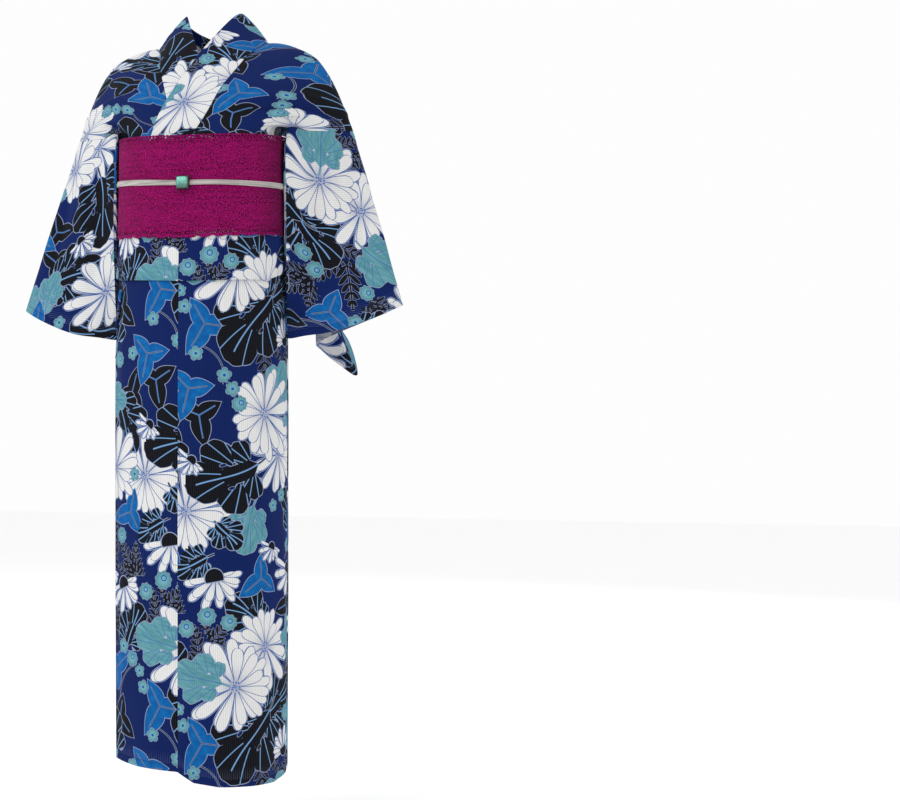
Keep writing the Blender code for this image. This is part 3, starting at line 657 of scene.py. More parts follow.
skirt = {
    "wall": 0.0007,
    "top": -0.346,
    "inside": 0.0,
    "outside": 0.0043,
    # columns to a degree, the gap at each side of a seam in degrees, and metres to a degree
    "columns": 0.578,
    "gap": 0.03,
    "degree": 0.0025,
    # where the wrap starts to lie outside itself, and over how many degrees
    "lapStart": -95.0,
    "lapOver": 120.0,
    # the free edge: where it starts to stand off, in degrees and in height, and how far it does
    "edgeStart": -388.0,
    "edgeOver": 33.0,
    "edgeTop": -0.415,
    "edgeOut": 0.0065,
    "panels": (
        # name, first angle, last angle, flat width and length, print across and down, turned
        ("okumi_right", 124.0, 65.0, (0.13, 0.85), (0.2, 0.3), False),
        ("skirt_front_right", 65.0, -30.0, (0.2, 0.86), (0.11, 0.12), False),
        ("skirt_back_right", -30.0, -149.0, (0.27, 0.88), (0.17, 0.02), True),
        ("skirt_back_left", -149.0, -267.6, (0.29, 0.88), (-0.052, 0.355), True),
        ("skirt_front_left", -267.6, -362.5, (0.24, 0.88), (0.0, 0.0), False),
        ("okumi_left", -362.5, -421.5, (0.15, 0.86), (0.075, 0.057), False),
    ),
    # how much the wrap draws in at the hem: unrolled angle, share of the radius
    "taper": (
        (-422, 0.0), (-149, 0.0), (-131, 0.11), (-99, 0.31), (-75, 0.37), (-30, 0.34), (20, 0.22),
        (65, 0.15), (124, 0.12),
    ),
    # how that grows down the skirt: height, share
    "taperDrop": (
        (-1.215, 1.0), (-1.15, 0.95), (-1.1, 0.83), (-1.01, 0.65), (-0.87, 0.47), (-0.483, 0.15),
        (-0.4, 0.05), (-0.33, 0.0),
    ),
    # the hem: unrolled angle, height
    "hem": (
        (-422, -1.195), (-395, -1.199), (-363, -1.2), (-352, -1.217), (-335, -1.224),
        (-290, -1.226), (-262, -1.214), (-245, -1.198), (-225, -1.206), (-190, -1.22),
        (-149, -1.226), (-120, -1.214), (-60, -1.204), (30, -1.2), (124, -1.184),
    ),
    # hanging folds that grow towards the hem: unrolled angle, half width in degrees, height
    "hanging": (
        (-158.0, 7.0, -0.0022), (-204.0, 9.0, 0.0018), (-246.0, 8.0, 0.002),
        (-286.0, 8.0, -0.0016), (-312.0, 10.0, 0.0022), (-344.0, 8.0, -0.0018),
    ),
    # small creases: across and down from and to, half width, height, in metres
    "creases": {
        "skirt_front_left": (
            (0.03, -0.14, 0.05, 0.3, 0.012, 0.001), (0.09, -0.1, 0.08, 0.42, 0.016, -0.0012),
            (0.15, -0.12, 0.14, 0.25, 0.012, 0.0011), (0.21, -0.14, 0.18, 0.1, 0.01, -0.0012),
            (0.2, 0.25, 0.22, 0.66, 0.014, 0.001), (0.12, 0.35, 0.13, 0.66, 0.014, 0.0008),
        ),
        "okumi_left": (
            (0.03, -0.12, 0.02, 0.3, 0.012, 0.0009), (-0.03, 0.0, -0.01, 0.5, 0.014, -0.001),
        ),
        "skirt_back_left": (
            (0.1, -0.12, 0.06, 0.3, 0.014, -0.0012), (0.18, -0.1, 0.2, 0.4, 0.016, 0.0012),
            (0.05, 0.2, 0.07, 0.62, 0.014, 0.001), (0.24, 0.1, 0.22, 0.62, 0.013, -0.0012),
        ),
        "skirt_back_right": (
            (0.05, -0.12, 0.03, 0.3, 0.014, 0.0012), (0.12, -0.1, 0.14, 0.5, 0.016, -0.0014),
            (0.2, 0.0, 0.18, 0.6, 0.014, 0.0012),
        ),
    },
}


def hangingFolds(angle, height):
    fall = np.clip((skirt["top"] - 0.1 - height) / 0.6, 0.0, 1.0)
    folds = (high * np.exp(-(((angle - middle) / wide) ** 2)) for middle, wide, high in skirt["hanging"])
    return fall * sum(folds)


def standOff(angle, height):
    # the free edge of the outer overlap stands off the body below the tuck
    near = np.clip((skirt["edgeStart"] - angle) / skirt["edgeOver"], 0.0, 1.0)
    below = np.clip((skirt["edgeTop"] - height) / 0.1, 0.0, 1.0)
    return skirt["edgeOut"] * near ** 2 * below


def skirtPoints(angle, height):
    share = np.clip((skirt["lapStart"] - angle) / skirt["lapOver"], 0.0, 1.0)
    share = share * share * (3 - 2 * share)
    layer = skirt["inside"] + (skirt["outside"] - skirt["inside"]) * share
    narrowed = 1.0 - table(skirt["taper"], angle) * table(skirt["taperDrop"], height)
    return ring(angle, height, layer + hangingFolds(angle, height) + standOff(angle, height), narrowed)


def makeSkirt():
    for name, first, last, flat, shift, turned in skirt["panels"]:
        count = int(abs(first - last) * skirt["columns"]) + 2
        angle = np.linspace(first - skirt["gap"], last + skirt["gap"], count)[:, None]
        down = np.linspace(0.0, 1.0, 120)[None]
        height = skirt["top"] + (table(skirt["hem"], angle) - skirt["top"]) * down
        grid = skirtPoints(angle, height)
        across = lengthsAlong(grid, 0)
        across = across[-1:] - across if name == "skirt_front_left" else -across
        along = printLevel - grid[..., 2]
        hem = grid[..., 2] - grid[:, -1:, 2]
        edges = np.minimum(np.abs(angle - first), np.abs(last - angle)) * skirt["degree"]
        if name == "okumi_left":
            # its free edge is stitched as its hem is
            hem = np.minimum(hem, np.abs(last - angle) * skirt["degree"] + 0.002)
        lift = folded(across, along, skirt["creases"].get(name, ())) + rumple(across, along, 0.00035, first)
        lift = lift * np.clip(edges / 0.02, 0.0, 1.0) - 0.0006 * np.exp(-(edges / 0.0025) ** 2)
        grid = grid + normalsOf(grid, False) * lift[..., None]
        piece = sheetMesh(name + "_cloth", grid, across, along, skirt["wall"], cottonBoth,
                          marks={"hem": hem})
        placePrint(piece.data, shift, turned)
        placed(piece, [name])
    print("skirt made")


# waist tuck: a band folded up inside itself, hanging below the belt

tuck = {
    "wall": 0.0007,
    "inside": 0.0064,
    "outside": 0.0095,
    "spacing": 1.8,
    # the overlap's seam, in degrees, and how its print is moved there
    "seam": -2.5,
    "overlapPrint": (0.075, 0.057),
    "printStart": 0.031,
    # creases stay on this many columns, which face outwards
    "face": 22,
    "bands": (
        # name, first and last angle, how far it flares at the free side, flat size, print, turned
        ("tuck_front_left", -73.6, 91.95, 0.0012, (0.42, 0.16), (0.0, 0.0), False),
        ("tuck_back_left", 91.98, 183.97, 0.0, (0.23, 0.14), (0.02, 0.27), True),
        ("tuck_right", 184.03, 286.0, 0.0, (0.25, 0.14), (0.31, 0.27), True),
    ),
    "creases": {
        "tuck_front_left": (
            (0.04, -0.28, 0.07, -0.2, 0.01, 0.0008), (0.14, -0.27, 0.1, -0.17, 0.012, -0.0009),
            (0.19, -0.25, 0.17, -0.17, 0.01, 0.0009),
        ),
    },
}


def makeTuck():
    inner, outer = tuck["inside"], tuck["outside"]
    middle, half = (inner + outer) / 2, (outer - inner) / 2
    for name, first, last, flare, flat, shift, turned in tuck["bands"]:
        angles = np.linspace(first, last, int(abs(last - first) / tuck["spacing"]))
        seam = tuck["seam"]
        if first < seam < last:
            angles = np.sort(np.append(angles, (seam - 0.05, seam + 0.05)))
        rows = []
        for angle in angles:
            foot = level(tuckFoot, angle)
            lift = flare * np.clip((-angle - 60.0) / 14.0, 0.0, 1.0)
            section = [
                (outer, -0.3), (outer, -0.322), (outer + lift, (foot - 0.318) / 2),
                (outer + lift, foot + 0.012), (outer + lift, foot + 0.003),
                (middle + half * 0.6 + lift, foot + 0.0009), (middle + lift, foot),
                (middle - half * 0.6 + lift, foot + 0.0009), (inner + lift, foot + 0.003),
                (inner + lift, foot + 0.014), (inner, foot + 0.04),
            ]
            rows.append([ring(angle, height, outside) for outside, height in section])
        grid = finer(np.array(rows), 1, 4)
        across = lengthsAlong(grid, 0)
        along = tuck["printStart"] - grid[..., 2]
        turns = angles[:, None]
        seamNear = 0 * turns
        if name == "tuck_front_left":
            across = across - across[np.searchsorted(angles, seam)]
            moveAcross, moveDown = tuck["overlapPrint"]
            across = np.where(turns < seam, across + moveAcross, across)
            along = np.where(turns < seam, along + moveDown, along)
            seamNear = np.exp(-((turns - seam) / 1.0) ** 2)
        lift = folded(across, printLevel - grid[..., 2], tuck["creases"].get(name, ()))
        lift = lift + rumple(across, along, 0.0003, first)
        lift = lift * np.clip((along - along[:, :1]) / 0.02, 0.0, 1.0) - 0.0005 * seamNear
        lift[:, tuck["face"]:] = 0.0
        grid = grid - normalsOf(grid, False) * lift[..., None]
        piece = sheetMesh(name + "_cloth", grid, across, along, tuck["wall"], cottonBoth, flip=True)
        placePrint(piece.data, shift, turned)
        placed(piece, [name])
    print("waist tuck made")


# collar: a folded band from the belt, round the neck, to the belt

collar = {
    "wall": 0.0021,
    "edge": 0.0007,
    "over": 0.0071,
    "under": 0.003,
    "underDepth": (0.0062, 0.0058, 0.003, 0.0, 0.0, 0.0, 0.0, 0.0),
    "flat": (0.07, 0.9),
    "print": (0.145, 0.592),
    "eased": 0.033,
    "hollow": 0.0035,
    # the two edges' angles where it goes under the belt, and the height
    "footAngles": (1.5, -29.0),
    "foot": -0.186,
    # for the wearer's left, from the belt to the middle of the back: seam x, y, z, fold x, y, z
    "edges": (
        (0.03, -0.153, -0.135, -0.052, -0.15, -0.135),
        (0.048, -0.135, -0.09, -0.036, -0.137, -0.095),
        (0.069, -0.095, -0.044, -0.01, -0.112, -0.043),
        (0.08, -0.056, -0.016, 0.014, -0.076, 0.003),
        (0.095, 0.0000, 0.008, 0.044, -0.01, 0.058),
        (0.084, 0.032, -0.004, 0.054, 0.024, 0.053),
        (0.056, 0.068, -0.022, 0.037, 0.058, 0.04),
        (0.000, 0.093, -0.037, 0.000, 0.082, 0.029),
    ),
}


def settled(points):
    # points near the belt move forward to the trunk; shoulders and arms stay
    points = np.array(points, float)
    high = np.clip((points[..., 2] + 0.172) / 0.125, 0.0, 1.0)
    wide = np.clip((np.abs(points[..., 0]) - 0.125) / 0.05, 0.0, 1.0)
    points[..., 1] -= shouldersBack * (1.0 - np.maximum(high, wide))
    return points


def movedIn(edge, inner, gap):
    way = inner - edge
    return edge + way / np.linalg.norm(way, axis=-1, keepdims=True) * gap


def mirrored(points):
    return points * np.array([-1.0, 1.0, 1.0])


def collarEdges(under):
    rows = settled(np.array(collar["edges"]).reshape(-1, 2, 3))
    rows[:, :, 1] += np.array(collar["underDepth"])[:, None] if under else 0.0
    depth = collar["under"] if under else collar["over"]
    foot = ring(collar["footAngles"], collar["foot"], depth)
    rows = np.concatenate([foot[None], rows])
    beyond = mirrored(rows[-2])
    dense = smooth(np.concatenate([rows, beyond[None]]), 3)[:-3]
    return mirrored(dense) if under else dense


def makeCollar():
    over, under = collarEdges(False), collarEdges(True)
    path = np.concatenate([over, under[::-1][1:]])
    seam, fold = path[:, 0], path[:, 1]
    across = fold - seam
    out = np.cross(across, np.gradient((seam + fold) / 2, axis=0))
    out /= np.linalg.norm(out, axis=1, keepdims=True)
    rows = []
    for share in (0.0, 0.12, 0.36, 0.64, 0.88, 1.0):
        rows.append(seam + across * share - out * collar["hollow"] * (1 - (2 * share - 1) ** 2))
    grid = finer(np.stack(rows, axis=1), 4, 3)
    width, length = -lengthsAlong(grid, 1), -lengthsAlong(grid, 0)
    # the print is eased a little round the back of the neck
    length = length + collar["eased"] * np.clip((-length - 0.28) / 0.3, 0.0, 1.0)
    lift = rumple(width, length, 0.00035, 3.0) * np.clip(-width / 0.01, 0.0, 1.0)
    grid = grid + normalsOf(grid, False) * lift[..., None]
    piece = sheetMesh("collar_band", grid, width, length, collar["wall"], (cottonFace,), edge=collar["edge"])
    placePrint(piece.data, collar["print"], False)
    placed(piece, ["collar"])
    print("collar made")


# bodice: two panels from the belt in front, over the shoulders, to the belt behind

bodice = {
    "wall": 0.0007,
    "over": 0.0066,
    "under": 0.0025,
    "held": 0.01,
    "neckGap": 0.0004,
    # half the gap between the two panels down the middle of the back
    "spineGap": 0.00012,
    # heights: the lower edge, and where the cloth goes under the belt in front and behind
    "foot": -0.2985,
    "frontFoot": -0.186,
    "backFoot": -0.178,
    "frontAngles": (12, 28, 44, 60, 76, 90),
    "backAngles": (164, 148, 132, 118, 105, 92),
    # how much further in the right panel's first two rows lie
    "underDepth": ((0.006, 0.005, 0.003, 0.001, 0, 0), (0.0055, 0.004, 0.002, 0, 0, 0)),
    # the length that the belt hides at each end, and how strong the creases are
    "hidden": 0.155,
    "creased": 1.3,
    "flat": (0.2, 0.75),
    "printLeft": (0.155, 0.26),
    "printRight": (0.159, -0.196),
    # six points of x, y, z from the neck to the armhole, rows from front to back, wearer's left
    "rows": (
        (0.06, -0.148, -0.136, 0.088, -0.137, -0.137, 0.112, -0.121, -0.14,
         0.131, -0.103, -0.144, 0.144, -0.085, -0.147, 0.152, -0.068, -0.15),
        (0.078, -0.129, -0.094, 0.106, -0.118, -0.1, 0.132, -0.103, -0.11,
         0.153, -0.088, -0.124, 0.168, -0.076, -0.14, 0.178, -0.066, -0.154),
        (0.095, -0.09, -0.05, 0.125, -0.082, -0.06, 0.152, -0.073, -0.078,
         0.176, -0.064, -0.102, 0.194, -0.056, -0.128, 0.207, -0.05, -0.153),
        (0.106, -0.053, -0.02, 0.135, -0.048, -0.029, 0.165, -0.042, -0.048,
         0.193, -0.036, -0.08, 0.214, -0.03, -0.118, 0.229, -0.026, -0.151),
        (0.118, 0.0000, 0.006, 0.147, 0.0000, -0.003, 0.181, 0.0000, -0.023,
         0.208, 0.0000, -0.064, 0.229, 0.0000, -0.112, 0.243, 0.0000, -0.148),
        (0.106, 0.035, -0.008, 0.134, 0.036, -0.019, 0.164, 0.033, -0.04,
         0.191, 0.029, -0.076, 0.213, 0.025, -0.116, 0.228, 0.022, -0.151),
        (0.082, 0.074, -0.034, 0.112, 0.074, -0.046, 0.144, 0.069, -0.068,
         0.173, 0.06, -0.098, 0.193, 0.052, -0.128, 0.207, 0.044, -0.155),
        (0.04, 0.1, -0.056, 0.082, 0.1, -0.075, 0.12, 0.093, -0.098,
         0.148, 0.082, -0.122, 0.166, 0.072, -0.144, 0.179, 0.062, -0.162),
        (0.038, 0.098, -0.108, 0.076, 0.096, -0.116, 0.107, 0.089, -0.128,
         0.13, 0.081, -0.142, 0.145, 0.076, -0.156, 0.154, 0.074, -0.17),
    ),
    # where it stands just above the belt's edge: angle, height, how far out of its place
    "frontBrink": (
        (17, -0.164, 0.001), (31, -0.161, 0.002), (45, -0.159, 0.003), (59, -0.157, 0.0035),
        (73, -0.156, 0.004), (88, -0.156, 0.004),
    ),
    "backBrink": (
        (166, -0.146, 0.002), (150, -0.147, 0.003), (134, -0.148, 0.004), (120, -0.148, 0.005),
        (107, -0.148, 0.005), (95, -0.148, 0.004),
    ),
    "creases": (
        # from the armhole (0) towards the neck, and from the belt in front over to the back
        (-0.005, 0.26, -0.075, 0.155, 0.0065, 0.0048), (-0.015, 0.29, -0.105, 0.165, 0.0075, -0.004),
        (-0.03, 0.32, -0.13, 0.19, 0.007, 0.003), (-0.02, 0.24, -0.05, 0.15, 0.005, -0.003),
        (-0.005, 0.5, -0.085, 0.605, 0.007, 0.0046), (-0.015, 0.47, -0.115, 0.595, 0.008, -0.0036),
        (-0.03, 0.44, -0.14, 0.56, 0.007, 0.0028),
    ),
}


def brink(places, depth):
    return np.array([ring(angle, height, depth + out) for angle, height, out in places])


def lowerEdge(points):
    turns = np.degrees(np.arctan2(points[:, 0], trunkAxis - points[:, 1]))
    return ring(turns, bodice["foot"], bodice["held"])


def makeBodice(name, under):
    edge = collarEdges(under)[:, 0]
    if under:
        edge = mirrored(edge)
    rows = settled(np.array(bodice["rows"]).reshape(-1, 6, 3))
    if under:
        rows[:2, :, 1] += bodice["underDepth"]
    depth = bodice["under"] if under else bodice["over"]
    front = ring(bodice["frontAngles"], bodice["frontFoot"], depth)
    frontBrink = brink(bodice["frontBrink"], depth)
    back = ring(bodice["backAngles"], bodice["backFoot"], depth)
    backBrink = brink(bodice["backBrink"], depth)
    dense = smooth(np.concatenate([front[None], rows, backBrink[None], back[None]]), 3)
    share = np.sin(np.linspace(0, pi, 4))[:, None, None]
    held = (0.0, 0.2, 0.5, 0.9, 0.9, 0.9) if under else (0.5, 0.7, 0.9, 0.9, 0.9, 0.9)
    dense[:4] += share * np.array(held)[None, :, None] * (frontBrink - (front + rows[1]) / 2)
    # the neck edge follows the collar to the middle of the back, then runs down it
    spine = np.array([
        edge[-1], settled((0, 0.102, -0.1)), (0, trunkAxis + 0.112 + depth, -0.145),
        ring(180, bodice["backFoot"], depth),
    ])
    neck = np.concatenate([edge, smooth(spine, 3)[1:]])
    neck = movedIn(neck, dense[:, 0], bodice["neckGap"])
    neck[len(edge) - 1:, 0] = bodice["spineGap"]
    columns = np.concatenate([neck[:, None], dense], axis=1)
    grid = smooth(columns.transpose(1, 0, 2), 2).transpose(1, 0, 2)
    lowFront, lowBack = lowerEdge(grid[0]), lowerEdge(grid[-1])
    lowBack[0, 0] = bodice["spineGap"]
    halfFront, halfBack = (grid[0] + lowFront) / 2, (grid[-1] + lowBack) / 2
    grid = np.concatenate([[lowFront, halfFront], grid, [halfBack, lowBack]])
    grid[:, -1] = movedIn(grid[:, -1], grid[:, -2], 0.0001)
    grid = finer(grid, 3, 3)
    if not under:
        grid[:, 0, 0] = np.maximum(grid[:, 0, 0], bodice["spineGap"])
    across, along = lengthsAlong(grid, 1), lengthsAlong(grid, 0)
    fromArm = across - across[:, -1:]
    lift = folded(fromArm, along, bodice["creases"]) * bodice["creased"]
    lift = lift + rumple(fromArm, along, 0.0006, 5.0 if under else 2.0)
    inner = np.minimum(across, -fromArm)
    shown = np.clip((along - bodice["hidden"]) / 0.05, 0.0, 1.0)
    shown = shown * np.clip((along[-1:] - bodice["hidden"] - along) / 0.05, 0.0, 1.0)
    lift = lift * np.clip(inner / 0.02, 0.0, 1.0) * shown - 0.0006 * np.exp(-(inner / 0.0025) ** 2)
    grid = grid - normalsOf(grid, False) * lift[..., None]
    printAcross, printDown = -fromArm if under else fromArm, -along
    if under:
        grid = mirrored(grid)[::-1]
        printAcross, printDown = printAcross[::-1], printDown[::-1]
    piece = sheetMesh(name + "_cloth", grid, printAcross, printDown, bodice["wall"], cottonBoth,
                      flip=True)
    placePrint(piece.data, bodice["printRight"] if under else bodice["printLeft"], under)
    placed(piece, [name])
    print(name, "made")


# sleeves: each a loop of cloth round the arm

sleeve = {
    "wall": 0.0007,
    "tailOut": {"sleeve_left": 1.0, "sleeve_right": 0.55},
    "wristBack": 0.02,
    "flat": (0.34, 0.54),
    "print": {"sleeve_left": (0.014, 0.42), "sleeve_right": (0.2, 0.05)},
    # the loop at the wrist: nine stations from the front of the armhole over its top to its back,
    # and eight round the inner side
    "wrist": (
        (0.153, -0.072, -0.499), (0.18, -0.102, -0.495), (0.23, -0.104, -0.487),
        (0.292, -0.084, -0.464), (0.332, -0.052, -0.444), (0.297, -0.022, -0.456),
        (0.254, 0.004, -0.47), (0.215, 0.02, -0.48), (0.186, 0.024, -0.488),
        (0.17, 0.03, -0.49), (0.163, 0.031, -0.491), (0.158, 0.028, -0.49),
        (0.155, 0.022, -0.488), (0.1535, 0.012, -0.487), (0.1525, -0.004, -0.487),
        (0.152, -0.024, -0.489), (0.1518, -0.046, -0.493),
    ),
    # the same from this station on, where the tail is folded out behind
    "tailFrom": 7,
    "tail": (
        (0.215, 0.02, -0.484), (0.184, 0.024, -0.497), (0.168, 0.034, -0.506),
        (0.182, 0.048, -0.522), (0.206, 0.056, -0.541), (0.235, 0.064, -0.557),
        (0.214, 0.08, -0.494), (0.176, 0.072, -0.462), (0.153, 0.02, -0.47),
        (0.1515, -0.03, -0.486),
    ),
    "armpit": (
        (0.154, 0.068, -0.198), (0.154, 0.06, -0.222), (0.153, 0.048, -0.238),
        (0.153, 0.034, -0.245), (0.152, 0.018, -0.244), (0.152, 0.000, -0.235),
        (0.152, -0.02, -0.216), (0.152, -0.044, -0.188),
    ),
    "levels": (0.0, 0.12, 0.28, 0.44, 0.58, 0.72, 0.86, 1.0),
    # the inner front edge: which point of the loop, over how many it spreads, and how far it moves in
    "innerPoint": 49.0,
    "innerSpread": 3.6,
    "innerIn": 0.0062,
    # the point of the finished loop at the top of the shoulder
    "shoulder": 36,
    "creases": (
        # from the armhole down, and round the loop from its top: behind is more, in front is less
        (0.01, -0.05, 0.22, -0.11, 0.01, 0.0044), (0.03, -0.1, 0.3, -0.15, 0.012, -0.0042),
        (0.02, -0.02, 0.3, -0.05, 0.012, -0.0034), (0.1, -0.16, 0.33, -0.2, 0.012, 0.0034),
        (0.02, 0.05, 0.24, 0.08, 0.011, 0.0042), (0.05, 0.11, 0.32, 0.15, 0.013, -0.0044),
        (0.1, 0.02, 0.32, 0.03, 0.013, -0.003), (0.12, 0.19, 0.33, 0.22, 0.012, 0.0034),
    ),
}


def makeSleeve(name, side):
    seam = settled(np.array(bodice["rows"]).reshape(-1, 6, 3)[:, 5])
    top = np.concatenate([seam, np.array(sleeve["armpit"])])
    plain = np.array(sleeve["wrist"]) + (0.0, sleeve["wristBack"], 0.0)
    out = plain.copy()
    out[sleeve["tailFrom"]:] = np.array(sleeve["tail"]) + (0.0, sleeve["wristBack"], 0.0)
    wrist = plain + (out - plain) * sleeve["tailOut"][name]
    loops = []
    for share in sleeve["levels"]:
        points = top + (plain - top) * share + (wrist - plain) * share ** 2.6
        loops.append(smooth(points, 3, closed=True))
    loops = np.array(loops)
    way = loops[1] - loops[0]
    loops[0] += way / np.linalg.norm(way, axis=1, keepdims=True) * 0.0002
    # the inner front edge comes forward beside the belt
    count = loops.shape[1]
    away = (np.arange(count) - sleeve["innerPoint"] + count / 2) % count - count / 2
    near = np.exp(-((away / sleeve["innerSpread"]) ** 2))
    for k, share in enumerate(sleeve["levels"]):
        reach = min(1.0, share / 0.06 + 0.25) * (0.03 + 0.014 * min(1.0, share * 2.0))
        loops[k][:, 1] -= near * reach
        loops[k][:, 0] -= near * sleeve["innerIn"]
        swell = sin(pi * min(1.0, share + 0.1)) * 0.006
        loops[k][8:11, 1] += swell * np.array([0.5, 1.0, 0.5])
        loops[k][17:20, 1] -= swell * np.array([0.5, 1.0, 0.5])
    grid = finer(loops.transpose(1, 0, 2), 3, 6, closed=True)
    around, down = lengthsAlong(grid, 0, closed=True), lengthsAlong(grid, 1)
    down = np.concatenate([down, down[:1]])
    around = around - around[sleeve["shoulder"]]
    lift = folded(down, around, sleeve["creases"]) + rumple(down, around, 0.0008, 4.0 + side)
    lift = lift[:-1] * np.clip(down[:-1] / 0.03, 0.0, 1.0) - 0.0006 * np.exp(-(down[:-1] / 0.0025) ** 2)
    grid = grid - normalsOf(grid, True) * lift[..., None]
    hem = down[:-1, -1:] - down[:-1]
    printAcross, printDown = down * side, -around
    if side < 0:
        grid, hem = mirrored(grid)[::-1], hem[::-1]
        # one more column closes the loop, so it turns about the first one
        printAcross, printDown = printAcross[::-1], printDown[::-1]
        grid = np.roll(grid, 1, 0)
        hem = np.roll(hem, 1, 0)
    piece = sheetMesh(name + "_cloth", grid, printAcross, printDown, sleeve["wall"], cottonBoth,
                      closed=True, marks={"hem": hem}, flip=True)
    placePrint(piece.data, sleeve["print"][name], False)
    placed(piece, [name])
    print(name, "made")


# the folded end of the collar band, on the free edge of the outer overlap

collarEnd = {
    "wall": 0.0018,
    "edge": 0.0006,
    "flat": (0.014, 0.065),
    "print": (0.3, 0.6),
    "laid": 0.0027,
    "bulge": 0.0012,
    # the edge's angle, then height and the other edge's angle in each row
    "far": -61.3,
    "rows": ((-0.418, -56.0), (-0.436, -56.2), (-0.454, -56.5), (-0.47, -57.4), (-0.482, -59.0)),
}


def makeCollarEnd():
    rows = []
    for height, near in collarEnd["rows"]:
        row = []
        for share in (0.0, 0.33, 0.67, 1.0):
            angle = near + (collarEnd["far"] - near) * share
            laid = standOff(angle - 360.0, height) + skirt["outside"] + collarEnd["laid"]
            row.append(ring(angle, height, laid + collarEnd["bulge"] * sin(pi * share)))
        rows.append(row)
    grid = finer(np.array(rows)[::-1], 3, 2)
    across, along = -lengthsAlong(grid, 1), -lengthsAlong(grid, 0)
    piece = sheetMesh("collar_end_fold", grid, across, along, collarEnd["wall"], (cottonFace,),
                      edge=collarEnd["edge"])
    placePrint(piece.data, collarEnd["print"], False)
    placed(piece, ["collar_end"])
    print("collar end made")


# lace belt and bow

def holes(across, away, pitch, at, radius, phase=0.0):
    # a row of round holes this far from an edge
    x = ((across / pitch + phase).part() - 0.5) * pitch
    y = away - at
    return (radius - (x * x + y * y).root()).mask(2600.0)


def lace(name, topRows, footRows, scallop=0.0):
    # thick magenta lace: grainy net with woven figures, and open rows of holes near its edges
    look = Look(name, Roughness=0.9, Sheen_Weight=0.01, Specular_IOR_Level=0.08)
    across, along = look.cloth()
    flat = look.joined(across, along, 0.0)
    loops = look.dots(look.joined(across, along * 1.3, 0.0), 520.0)
    grain = look.noise(flat, 430.0, 3.0)
    figure = look.noise(look.joined(across * 0.6, along * 1.7, 0.0), 58.0, 2.0)
    bands = ((along * 690.0).wave() * 0.5 + 0.5) * ((along * 131.0 + 0.7).wave() * 0.5 + 0.5)
    openness = ((figure - 0.44) * 3.6 + bands * 0.85).held()
    pits = ((0.5 - grain) * 6.5 * (0.35 + openness * 1.2)).held()
    colour = look.mix(rgb(158, 14, 104), rgb(112, 3, 66), ((loops - 0.22) * 1.9).held())
    colour = look.mix(colour, rgb(196, 40, 138), ((grain - 0.56) * 5.0).held() * 0.6)
    colour = look.shaded(colour, 0.22, pits)
    # painted shade, which doesn't change with the light
    colour = look.mix(colour, rgb(34, 0, 20), look.number("paintedShade"))
    pierced = None
    top, foot = look.number("top"), look.number("foot")
    for away, rows, bend in ((top, topRows, 0.0), (foot, footRows, scallop)):
        if bend:
            s = abs((across / bend).part() - 0.5) * 2.0
            away = away - (1.0 - s * s) * bend * 0.16
        for pitch, at, radius, phase in rows:
            row = holes(across, away, pitch, at, radius, phase)
            pierced = row if pierced is None else pierced.most(row)
    height = loops * -0.0004 + grain * 0.0006 - pits * 0.0005
    return look.finish(Base_Color=colour, Alpha=1.0 - pierced, Height=height)


belt = {
    "wall": 0.0012,
    "outside": 0.0131,
    "flat": (0.165, 0.87),
    "picot": 0.0067,
    "scallop": 0.024,
    "steps": 780,
    # painted shade: its strength, then over which angles it comes and goes
    "shade": 0.74,
    "shadeStart": 48.0,
    "shadeRise": 46.0,
    "shadeEnd": 150.0,
    "shadeFall": 30.0,
}
beltLace = lace(
    "beltLace",
    ((0.0067, 0.0031, 0.0015, 0.0), (0.0067, 0.007, 0.00135, 0.5), (0.00335, 0.0102, 0.0006, 0.0)),
    ((0.0034, 0.0032, 0.00105, 0.0), (0.0034, 0.0066, 0.0009, 0.5)),
    scallop=belt["scallop"],
)
bowHoles = ((0.005, 0.0032, 0.0015, 0.0), (0.005, 0.008, 0.0013, 0.5), (0.005, 0.0128, 0.00115, 0.0))
bowLace = lace("bowLace", bowHoles, bowHoles)


def scalloped(along, pitch, high):
    # a row of small rounded picots along an edge
    return high * np.abs(np.cos(along / pitch * pi)) ** 0.6


def bandRows(margin, atEdges, between):
    # shares of a band's height from its top to its foot, closer together near both
    top = np.linspace(0.0, margin, atEdges)[:-1]
    foot = np.linspace(1.0 - margin, 1.0, atEdges)[1:]
    return np.concatenate([top, np.linspace(margin, 1.0 - margin, between), foot])[None]


